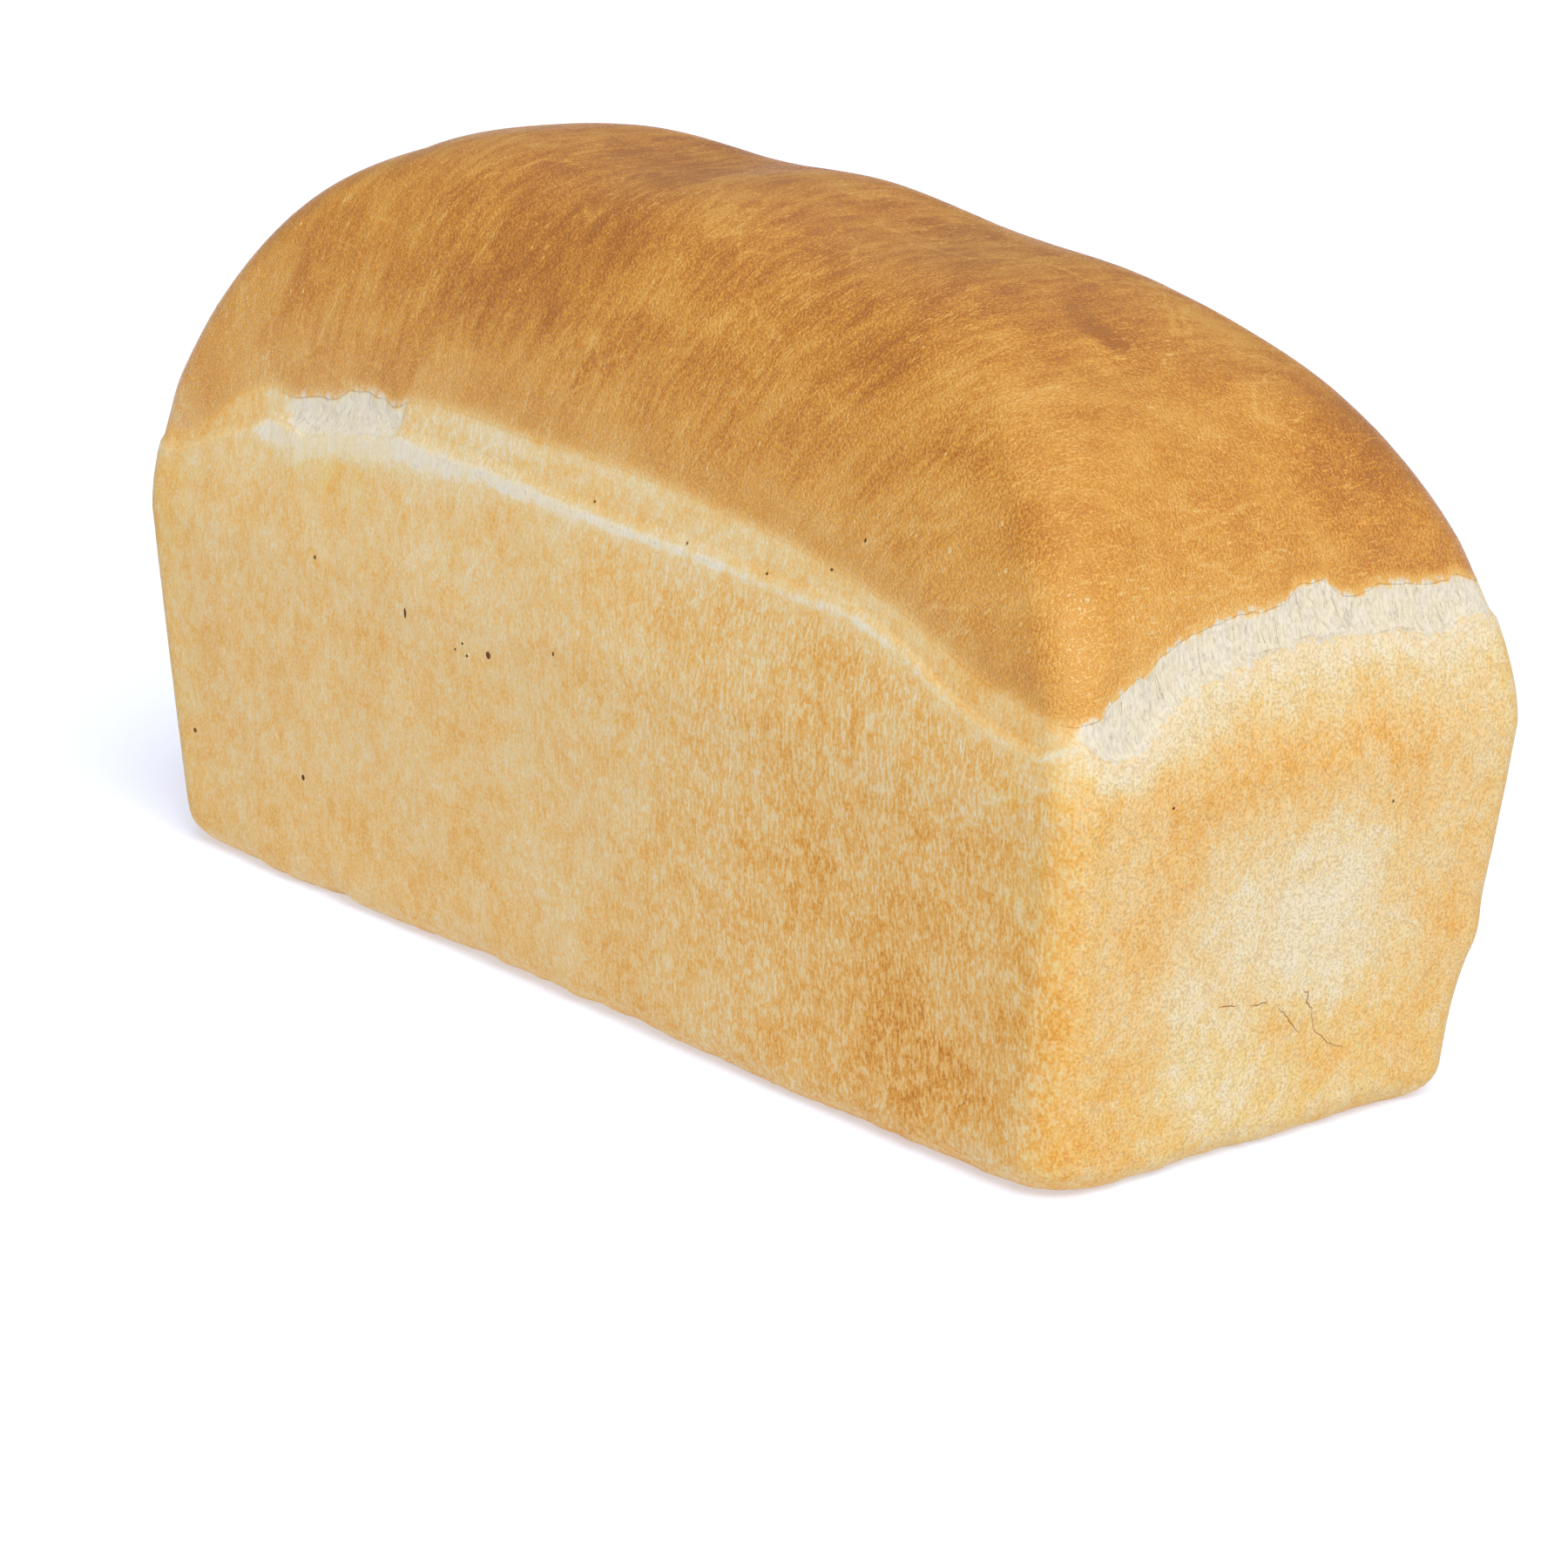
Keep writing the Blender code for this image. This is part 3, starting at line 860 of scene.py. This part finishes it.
def cracks_mesh():
    """Hair cracks: fine threads let into the near end's crust along crooked lines, coloured dark as painted
    shade inside each crack.

    Each path is walked in even steps and shaken a little, and thins out towards its tips.
    """
    random = np.random.default_rng(101)
    share = np.linspace(0, 1, CRACK_ROWS)
    along, height = [], []
    for path, _ in CRACKS:
        path = np.array(path) * MM
        walked = np.concatenate([[0], np.cumsum(np.hypot(*np.diff(path, axis=0).T))])
        along.append(np.interp(share * walked[-1], walked, path[:, 0]))
        height.append(np.interp(share * walked[-1], walked, path[:, 1]))
    shape = (len(CRACKS), CRACK_ROWS)
    turn = (np.array(along) + random.normal(0, CRACK_SHAKE, shape)) / run_round("near", 0)[1]
    height = np.array(height) + random.normal(0, CRACK_SHAKE, shape)
    turn, height = turn.reshape(-1) % 1, height.reshape(-1)
    spine = surface(height, turn)[0].reshape(*shape, 3)
    outward = directions(height, turn)[2].reshape(spine.shape)
    level = unit(np.cross(np.gradient(spine, axis=1), outward))
    width = np.array([half_width for _, half_width in CRACKS])[:, None] * MM
    width = (width * np.sin(math.pi * (0.08 + 0.84 * share)))[..., None]
    return tubes_mesh("hair_cracks", spine, -level * width, outward * CRACK_PROUD, STRAND_COLUMNS, {})


def add(tree, kind, settings=None, links=None):
    """Adds one shader node. `settings` are its properties, and `links` its inputs by name or
    place, each given a socket to join or a constant."""
    node = tree.nodes.new(kind)
    for name, value in (settings or {}).items():
        setattr(node, name, value)
    for name, value in (links or {}).items():
        if isinstance(value, bpy.types.NodeSocket):
            tree.links.new(value, node.inputs[name])
        else:
            node.inputs[name].default_value = value
    return node


def ramp(node, stops):
    """Fills a Color Ramp node with (place, colour) stops."""
    elements = node.color_ramp.elements
    while len(elements) < len(stops):
        elements.new(1.0)
    for element, (place, colour) in zip(elements, stops):
        element.position = place
        element.color = colour


def mottle(tree, vector, size, spread, values, detail=2.0):
    """A pattern of soft lumps: noise with lumps of `size` millimetres along the three axes.

    The part of the noise inside `spread` is carried smoothly to `values`.
    """
    scale = [1 / (s * MM) for s in size]
    sized = add(tree, "ShaderNodeMapping", links={"Vector": vector, "Scale": scale}).outputs[0]
    noise = add(tree, "ShaderNodeTexNoise", links={"Vector": sized, "Scale": 1.0, "Detail": detail})
    return add(
        tree,
        "ShaderNodeMapRange",
        {"interpolation_type": "SMOOTHSTEP"},
        {"Value": noise.outputs["Fac"], 1: spread[0], 2: spread[1], 3: values[0], 4: values[1]},
    ).outputs[0]


def total(tree, *terms):
    """A sum of products: each term is a row of sockets and constants, multiplied together."""
    running = 0.0
    for *factors, last in terms:
        product = last
        for factor in factors:
            links = {0: product, 1: factor}
            product = add(tree, "ShaderNodeMath", {"operation": "MULTIPLY"}, links).outputs[0]
        links = {0: running, 1: product}
        running = add(tree, "ShaderNodeMath", {"operation": "ADD"}, links).outputs[0]
    return running


def bread_material(colours):
    """Baked white bread: flour and water dough browned by the oven.

    Where the tin held it the crust is matt and finely mottled in upright flecks. On the dome
    it dried to a satin skin with creases across it. The torn crumb is bare, pale and dull.
    """
    material = bpy.data.materials.new("baked_white_bread")
    material.use_nodes = True
    tree = material.node_tree
    tree.nodes.clear()
    place = add(tree, "ShaderNodeTexCoord").outputs["Object"]
    toast, dome, end, torn, fleck, tuft, streak, across, butter = (
        add(tree, "ShaderNodeAttribute", {"attribute_name": name}).outputs["Fac"]
        for name in ("toast", "dome", "end", "torn", "fleck", "tuft", "streak", "across", "butter")
    )
    axes = add(tree, "ShaderNodeSeparateXYZ", links={0: place})
    creased = add(tree, "ShaderNodeCombineXYZ", links={0: across, 1: axes.outputs[1], 2: axes.outputs[2]})
    creased = creased.outputs[0]
    wall = total(tree, (1.0,), (dome, -1.0))
    side = total(tree, (1.0,), (end, -1.0))

    # The tin's crust: flecks half a millimetre wide and 1.8 mm tall where the dough slid up a
    # side, a rounder grain on an end, and golden mottles a few millimetres wide.
    upright = mottle(tree, place, (0.60, 0.60, 1.8), (0.44, 0.62), (0, 1), 2.0)
    grains = mottle(tree, place, (0.48, 0.48, 0.58), (0.30, 0.70), (-1, 1), 2.0)
    golden = mottle(tree, place, (2.8, 2.8, 3.4), (0.34, 0.66), (-1, 1), 2.0)
    clouds = mottle(tree, place, (9, 9, 10), (0.32, 0.68), (-1, 1), 2.0)
    # The rim's tufts: whitish upright brush marks a millimetre wide.
    tufts = mottle(tree, place, (0.9, 0.9, 2.2), (0.44, 0.64), (0, 1), 3.0)
    # The dome's skin: soft mottles and short streaks across it, a grain as fine as it can show,
    # pale dashes in clusters and a net of fine creases.
    broad = mottle(tree, place, (12, 12, 12), (0.32, 0.68), (-1, 1), 1.0)
    streaks = mottle(tree, creased, (1.6, 12, 12), (0.32, 0.68), (-1, 1), 2.0)
    blots = mottle(tree, creased, (2.6, 4.5, 4.5), (0.30, 0.70), (-1, 1), 2.0)
    grit = mottle(tree, place, (0.48, 0.48, 0.48), (0.30, 0.70), (-1, 1), 2.0)
    dashes = mottle(tree, creased, (0.5, 2.6, 2.6), (0.61, 0.70), (0, 1), 1.0)
    clusters = mottle(tree, place, (16, 16, 16), (0.40, 0.60), (0.1, 1), 2.0)
    nets = mottle(tree, place, (26, 26, 26), (0.46, 0.58), (0, 1), 1.0)
    wander = add(
        tree, "ShaderNodeTexNoise", links={"Vector": place, "Scale": 1 / (5 * MM), "Detail": 2.0}
    ).outputs["Color"]
    wandering = add(
        tree,
        "ShaderNodeVectorMath",
        {"operation": "MULTIPLY_ADD"},
        {0: wander, 1: (5 * MM,) * 3, 2: creased},
    ).outputs[0]
    cells = add(
        tree, "ShaderNodeMapping", links={"Vector": wandering, "Scale": (80, 40, 40)}
    ).outputs[0]
    crazing = add(
        tree,
        "ShaderNodeTexVoronoi",
        {"feature": "DISTANCE_TO_EDGE"},
        {"Vector": cells, "Scale": 1.0},
    ).outputs["Distance"]
    crease = add(
        tree,
        "ShaderNodeMapRange",
        {"interpolation_type": "SMOOTHSTEP"},
        {"Value": crazing, 1: 0.0, 2: 0.035, 3: 1.0, 4: 0.0},
    ).outputs[0]
    browned = total(
        tree,
        (toast,),
        (wall, fleck, upright, -0.30),
        (wall, fleck, 0.12),
        (wall, side, grains, 0.120),
        (wall, end, grains, 0.100),
        (wall, end, golden, 0.060),
        (wall, side, golden, 0.065),
        (wall, clouds, 0.055),
        (tuft, wall, tufts, -0.22),
        (dome, broad, 0.045),
        (dome, streak, streaks, 0.050),
        (dome, blots, 0.030),
        (dome, grit, 0.095),
        (dome, dashes, clusters, -0.20),
        (dome, crease, nets, -0.10),
    )
    crust = add(tree, "ShaderNodeValToRGB", links={0: browned})
    ramp(crust, [
        (0.0, colours.pale), (0.2, colours.cream), (0.4, colours.straw), (0.6, colours.gold),
        (0.75, colours.amber), (0.9, colours.brown), (1.0, colours.dark),
    ])
    # Pinholes, half a millimetre wide, dull the ends a little: partly the crust's own pinholes, partly
    # painted shade that darkens the ends.
    pinholes_and_shade = mottle(tree, place, (0.5, 0.5, 0.5), (0.44, 0.64), (0, 1), 1.0)
    pitted_and_shaded = add(
        tree,
        "ShaderNodeMix",
        {"data_type": "RGBA", "blend_type": "MULTIPLY"},
        {0: total(tree, (pinholes_and_shade, wall, end, 0.9)), 6: crust.outputs[0], 7: colours.pinhole_shade},
    ).outputs[2]
    # The crumb is painted with shade, grey in its hollows and darker all over on the ends, where the key
    # light falls most; its edge is broken into islands.
    strands = mottle(tree, place, (0.55, 0.55, 1.5), (0.36, 0.60), (1, 0), 2.0)
    pores = mottle(tree, place, (1.0, 1.0, 1.3), (0.30, 0.42), (1, 0), 1.0)
    painted_shade_share = total(tree, (strands, 0.14), (strands, end, 0.16), (pores, 0.22), (end, 0.12))
    bare = add(
        tree, "ShaderNodeMix", {"data_type": "RGBA"}, {0: painted_shade_share, 6: colours.crumb, 7: colours.painted_crumb_shade}
    ).outputs[2]
    islands = mottle(tree, place, (1.7, 1.7, 2.2), (0.30, 0.70), (-0.55, 0.55), 3.0)
    covered = total(tree, (1.0,), (torn, -1.0))
    # On the long sides the crumb fades softly into the crust; on the ends it breaks off.
    softness = total(tree, (side, 0.28))
    open_crumb, nearly_open = (
        add(
            tree,
            "ShaderNodeMapRange",
            {"interpolation_type": "SMOOTHSTEP"},
            {
                "Value": total(tree, (torn,), (islands, torn, covered, share)),
                1: total(tree, (low,), (softness, -1.0)),
                2: total(tree, (high,), (softness, 1.0)),
            },
        ).outputs[0]
        for share, low, high in ((3.2, 0.28, 0.70), (2.4, 0.03, 0.36))
    )
    # Where crust and crumb meet, the oven only singed it gold.
    gold_rim = total(tree, (nearly_open, end, 0.3), (nearly_open, end, dome, 0.5))
    singed = add(
        tree, "ShaderNodeMix", {"data_type": "RGBA"}, {0: gold_rim, 6: pitted_and_shaded, 7: colours.singed}
    ).outputs[2]
    untinted = add(
        tree, "ShaderNodeMix", {"data_type": "RGBA"}, {0: open_crumb, 6: singed, 7: bare}
    ).outputs[2]
    # Some lumps of bread are yellower than others.
    yellow = mottle(tree, place, (3.0, 3.0, 3.6), (0.36, 0.60), (0.2, 1), 2.0)
    colour = add(
        tree,
        "ShaderNodeMix",
        {"data_type": "RGBA", "blend_type": "MULTIPLY"},
        {0: total(tree, (yellow, butter)), 6: untinted, 7: colours.butter},
    ).outputs[2]
    shut = total(tree, (1.0,), (open_crumb, -1.0))
    roughness = total(
        tree,
        (0.80,),
        (dome, shut, -0.50),
        (dome, shut, grit, 0.06),
        (wall, grains, 0.05),
    )
    lift = total(
        tree,
        (wall, covered, grains, 0.035 * MM),
        (wall, covered, fleck, upright, 0.05 * MM),
        (tuft, wall, covered, tufts, 0.05 * MM),
        (dome, grit, 0.120 * MM),
        (torn, strands, -0.035 * MM),
        (torn, pores, -0.05 * MM),
    )
    bump = add(tree, "ShaderNodeBump", links={"Strength": 0.8, "Distance": 1.0, "Height": lift})
    shader = add(
        tree,
        "ShaderNodeBsdfPrincipled",
        links={
            "Base Color": colour,
            "Roughness": roughness,
            "IOR": 1.45,
            "Specular IOR Level": 0.70,
            "Normal": bump.outputs[0],
        },
    )
    add(tree, "ShaderNodeOutputMaterial", links={"Surface": shader.outputs[0]})
    material.diffuse_color = colours.gold
    return material


def bread():
    """The bread's material, made once and shared by its pieces."""
    found = bpy.data.materials.get("baked_white_bread")
    return found or bread_material(bpy.context.scene.loaf_colours)


def charred_and_crack_shade_material(name, colour):
    """Charred dough: burnt through to a dull dark brown, a little uneven in colour. The hair cracks use it
    too, as painted shade inside each crack.
    """
    found = bpy.data.materials.get(name)
    if found:
        return found
    material = bpy.data.materials.new(name)
    material.use_nodes = True
    tree = material.node_tree
    place = add(tree, "ShaderNodeTexCoord").outputs["Object"]
    shader = tree.nodes["Principled BSDF"]
    uneven = mottle(tree, place, (0.5, 0.5, 0.5), (0.3, 0.7), (0.0, 0.5), 2.0)
    mixed = add(
        tree,
        "ShaderNodeMix",
        {"data_type": "RGBA"},
        {0: uneven, 6: colour, 7: bpy.context.scene.loaf_colours.dark},
    ).outputs[2]
    tree.links.new(mixed, shader.inputs["Base Color"])
    shader.inputs["Roughness"].default_value = 0.85
    shader.inputs["Specular IOR Level"].default_value = 0.2
    return material


def colour_property(name, description, code):
    """A colour that the user can change, from an sRGB hex value."""
    return bpy.props.FloatVectorProperty(
        name=name, description=description, subtype="COLOR", size=4, min=0, max=1, default=linear(code)
    )


def length_property(name, description, millimetres):
    """A length that the user can change, given in millimetres."""
    return bpy.props.FloatProperty(
        name=name,
        description=description,
        default=millimetres * MM,
        min=0.0,
        subtype="DISTANCE",
        unit="LENGTH",
        precision=5,
    )


class LoafSizes(bpy.types.PropertyGroup):
    """Sizes of what the oven did to the loaf."""

    lip: length_property("Crust lip", "How far the crust's edge runs in over the crumb", 2.2)
    lip_lift: length_property("Lip lift", "How far the lower lip stands proud", 0.08)
    tear_depth: length_property("Tear depth", "How far the torn crumb lies below the crust", 0.5)
    strand: length_property("Crumb strand", "Half the thickness of a strand of crumb", 0.08)
    blister: bpy.props.FloatProperty(
        name="Blisters", description="Size of the dome's blisters", default=1.0, min=0.1, subtype="FACTOR"
    )


class LoafColours(bpy.types.PropertyGroup):
    """Colours of the bread as it browns."""

    crumb: colour_property("Crumb", "Bare crumb in the tear", "#e2d9c5")
    # Painted shade: the grey that the crumb's hollows and ends are darkened towards.
    painted_crumb_shade: colour_property("Crumb hollows", "Hollows between strands of crumb", "#ad9f8a")
    pale: colour_property("Pale", "Crust that has not browned", "#e3d5b6")
    cream: colour_property("Cream", "Crust that has hardly browned", "#e0c896")
    straw: colour_property("Straw", "Pale crust of the tin walls", "#e2bb78")
    gold: colour_property("Gold", "Golden crust", "#dfa852")
    amber: colour_property("Amber", "Crust of the dome's shoulders", "#d69737")
    brown: colour_property("Brown", "Crust of the dome", "#c0791b")
    dark: colour_property("Dark", "Darkest crust", "#a96512")
    butter: colour_property("Butter", "Tint of the yellower lumps of bread", "#fff8d6")
    scorch: colour_property("Scorch", "Scorched specks", "#4a2c16")
    # Partly painted shade: besides the pinholes' own tint, it dulls the ends as a whole.
    pinhole_shade: colour_property("Pinhole", "Tint inside the crust's pinholes", "#e6dfd5")
    singed: colour_property("Singed crumb", "Gold where crust and bare crumb meet", "#deae60")
    # Painted shade inside the hair cracks.
    crack_shade: colour_property("Crack", "Shade inside the hair cracks", "#8f6a48")


class LOAF_OT_tin_crust(bpy.types.Operator):
    """Make the crust that the tin shaped"""

    bl_idname = "loaf.tin_crust"
    bl_label = "Tin crust"

    def execute(self, context):
        show("tin_crust", tin_crust_mesh(context.scene.loaf_sizes), bread())
        return {"FINISHED"}


class LOAF_OT_torn_crumb(bpy.types.Operator):
    """Make the torn crumb between the two crusts"""

    bl_idname = "loaf.torn_crumb"
    bl_label = "Torn crumb"

    def execute(self, context):
        show("torn_crumb", torn_crumb_mesh(context.scene.loaf_sizes), bread())
        return {"FINISHED"}


class LOAF_OT_crumb_strands(bpy.types.Operator):
    """Make the strands of crumb that bridge the tear"""

    bl_idname = "loaf.crumb_strands"
    bl_label = "Crumb strands"

    def execute(self, context):
        show("crumb_strands", crumb_strands_mesh(context.scene.loaf_sizes), bread())
        return {"FINISHED"}


class LOAF_OT_dome_crust(bpy.types.Operator):
    """Make the crust of the dome"""

    bl_idname = "loaf.dome_crust"
    bl_label = "Dome crust"

    def execute(self, context):
        show("dome_crust", dome_crust_mesh(context.scene.loaf_sizes), bread())
        return {"FINISHED"}


class LOAF_OT_blisters(bpy.types.Operator):
    """Make the pale blisters on the dome"""

    bl_idname = "loaf.blisters"
    bl_label = "Blisters"

    def execute(self, context):
        show("blisters", blisters_mesh(context.scene.loaf_sizes), bread())
        return {"FINISHED"}


class LOAF_OT_marks(bpy.types.Operator):
    """Make the scorched specks and the hair cracks"""

    bl_idname = "loaf.marks"
    bl_label = "Specks and cracks"

    def execute(self, context):
        colours = context.scene.loaf_colours
        show("scorched_specks", specks_mesh(), charred_and_crack_shade_material("charred_dough", colours.scorch))
        # The hair cracks' dark threads carry painted shade.
        show("hair_cracks", cracks_mesh(), charred_and_crack_shade_material("painted_crack_shade", colours.crack_shade))
        return {"FINISHED"}


# The stage: camera, light and floor.
CAMERA_TURN = math.radians(49.252)
CAMERA_RISE = math.radians(16.472)
CAMERA_ROLL = math.radians(1.657)
CAMERA_DISTANCE = 0.87017
CAMERA_AIM = Vector((0.855 * MM, 0, 33.196 * MM))
CAMERA_LENS = 110.07
CAMERA_SENSOR = 36.0
FLOOR_SIZE = 40.0  # wide enough to fill every view from above
FLOOR_COLOUR = "#cad4e8"
FLOOR_GLOW_COLOUR = "#f8f5ff"
FLOOR_GLOW = 0.46  # the board glows a little, so it stays white under a soft light
# Soft lights: name, turn, rise, strength, spread and colour.
SOFT_LIGHTS = (
    ("key", math.radians(64), math.radians(48), 0.80 * math.pi, math.radians(36), (1, 0.99, 0.98)),
    ("top", math.radians(200), math.radians(72), 0.10 * math.pi, math.radians(120), (1, 1, 1)),
)
# How bright the studio is from the horizon (0) up to overhead (1).
STUDIO_GLOW = ((0.0, (0.20, 0.20, 0.205, 1)), (0.75, (0.42, 0.42, 0.42, 1)))


def facing(turn, rise):
    """The direction from the loaf out to a place at this turn and rise."""
    return Vector((math.sin(turn) * math.cos(rise), -math.cos(turn) * math.cos(rise), math.sin(rise)))


def place_camera():
    """Looks at the loaf from its near corner, a little from above."""
    back = facing(CAMERA_TURN, CAMERA_RISE)
    right = Vector((0, 0, 1)).cross(back).normalized()
    up = back.cross(right)
    leaning = right * math.cos(CAMERA_ROLL) + up * math.sin(CAMERA_ROLL)
    upright = up * math.cos(CAMERA_ROLL) - right * math.sin(CAMERA_ROLL)
    data = bpy.data.cameras.new("camera")
    data.lens = CAMERA_LENS
    data.sensor_width = CAMERA_SENSOR
    camera = bpy.data.objects.new("camera", data)
    camera.matrix_world = Matrix.Translation(CAMERA_AIM + back * CAMERA_DISTANCE) @ Matrix(
        (leaning, upright, back)
    ).transposed().to_4x4()
    bpy.context.scene.collection.objects.link(camera)
    bpy.context.scene.camera = camera


def soft_light(name, turn, rise, strength, spread, colour):
    """A sun as wide as a soft box, shining from a turn and a rise."""
    data = bpy.data.lights.new(name, "SUN")
    data.energy = strength
    data.angle = spread
    data.color = colour
    light = bpy.data.objects.new(name, data)
    light.rotation_euler = facing(turn, rise).to_track_quat("Z", "Y").to_euler()
    bpy.context.scene.collection.objects.link(light)


def studio_world():
    """A white studio: dim near the horizon and brighter overhead."""
    world = bpy.data.worlds.new("studio")
    bpy.context.scene.world = world
    world.use_nodes = True
    tree = world.node_tree
    tree.nodes.clear()
    direction = add(tree, "ShaderNodeTexCoord").outputs["Generated"]
    rise = add(tree, "ShaderNodeSeparateXYZ", links={0: direction}).outputs[2]
    glow = add(tree, "ShaderNodeValToRGB", links={0: rise})
    ramp(glow, STUDIO_GLOW)
    shine = add(tree, "ShaderNodeBackground", links={"Color": glow.outputs[0], "Strength": 1.0})
    add(tree, "ShaderNodeOutputWorld", links={"Surface": shine.outputs[0]})


def floor_material():
    """White lacquered board: even, matt and almost pure white."""
    material = bpy.data.materials.new("white_board")
    material.use_nodes = True
    shader = material.node_tree.nodes["Principled BSDF"]
    shader.inputs["Base Color"].default_value = linear(FLOOR_COLOUR)
    shader.inputs["Roughness"].default_value = 0.9
    shader.inputs["Specular IOR Level"].default_value = 0.1
    shader.inputs["Emission Color"].default_value = linear(FLOOR_GLOW_COLOUR)
    shader.inputs["Emission Strength"].default_value = FLOOR_GLOW
    return material


class LOAF_OT_stage(bpy.types.Operator):
    """Make the camera, the floor and the lights"""

    bl_idname = "loaf.stage"
    bl_label = "Stage"

    def execute(self, context):
        place_camera()
        mesh = bpy.data.meshes.new("floor")
        half = FLOOR_SIZE / 2
        corners = [(-half, -half, 0), (half, -half, 0), (half, half, 0), (-half, half, 0)]
        mesh.from_pydata(corners, [], [(0, 1, 2, 3)])
        floor = bpy.data.objects.new("floor", mesh)
        floor.data.materials.append(floor_material())
        context.scene.collection.objects.link(floor)
        for light in SOFT_LIGHTS:
            soft_light(*light)
        studio_world()
        context.scene.view_settings.view_transform = "Standard"
        return {"FINISHED"}


class LOAF_PT_panel(bpy.types.Panel):
    """Sizes, colours and pieces of the loaf"""

    bl_idname = "LOAF_PT_panel"
    bl_label = "Tin loaf"
    bl_space_type = "VIEW_3D"
    bl_region_type = "UI"
    bl_category = "Loaf"

    def draw(self, context):
        for group in (context.scene.loaf_sizes, context.scene.loaf_colours):
            for name in group.__annotations__:
                self.layout.prop(group, name)
        for operator in OPERATORS:
            self.layout.operator(operator.bl_idname)


OPERATORS = (
    LOAF_OT_stage,
    LOAF_OT_tin_crust,
    LOAF_OT_torn_crumb,
    LOAF_OT_crumb_strands,
    LOAF_OT_dome_crust,
    LOAF_OT_blisters,
    LOAF_OT_marks,
)
GROUPS = (LoafSizes, LoafColours)


def register():
    """Makes the sizes, colours, operators and panel known to Blender."""
    for kind in GROUPS + OPERATORS + (LOAF_PT_panel,):
        bpy.utils.register_class(kind)
    bpy.types.Scene.loaf_sizes = bpy.props.PointerProperty(type=LoafSizes)
    bpy.types.Scene.loaf_colours = bpy.props.PointerProperty(type=LoafColours)


def unregister():
    """Takes them out again."""
    del bpy.types.Scene.loaf_colours
    del bpy.types.Scene.loaf_sizes
    for kind in reversed(GROUPS + OPERATORS + (LOAF_PT_panel,)):
        bpy.utils.unregister_class(kind)


def main():
    """Builds the stage and every piece of the loaf."""
    register()
    bpy.ops.loaf.stage()
    bpy.ops.loaf.tin_crust()
    bpy.ops.loaf.torn_crumb()
    bpy.ops.loaf.crumb_strands()
    bpy.ops.loaf.dome_crust()
    bpy.ops.loaf.blisters()
    bpy.ops.loaf.marks()


if __name__ == "__main__":
    main()
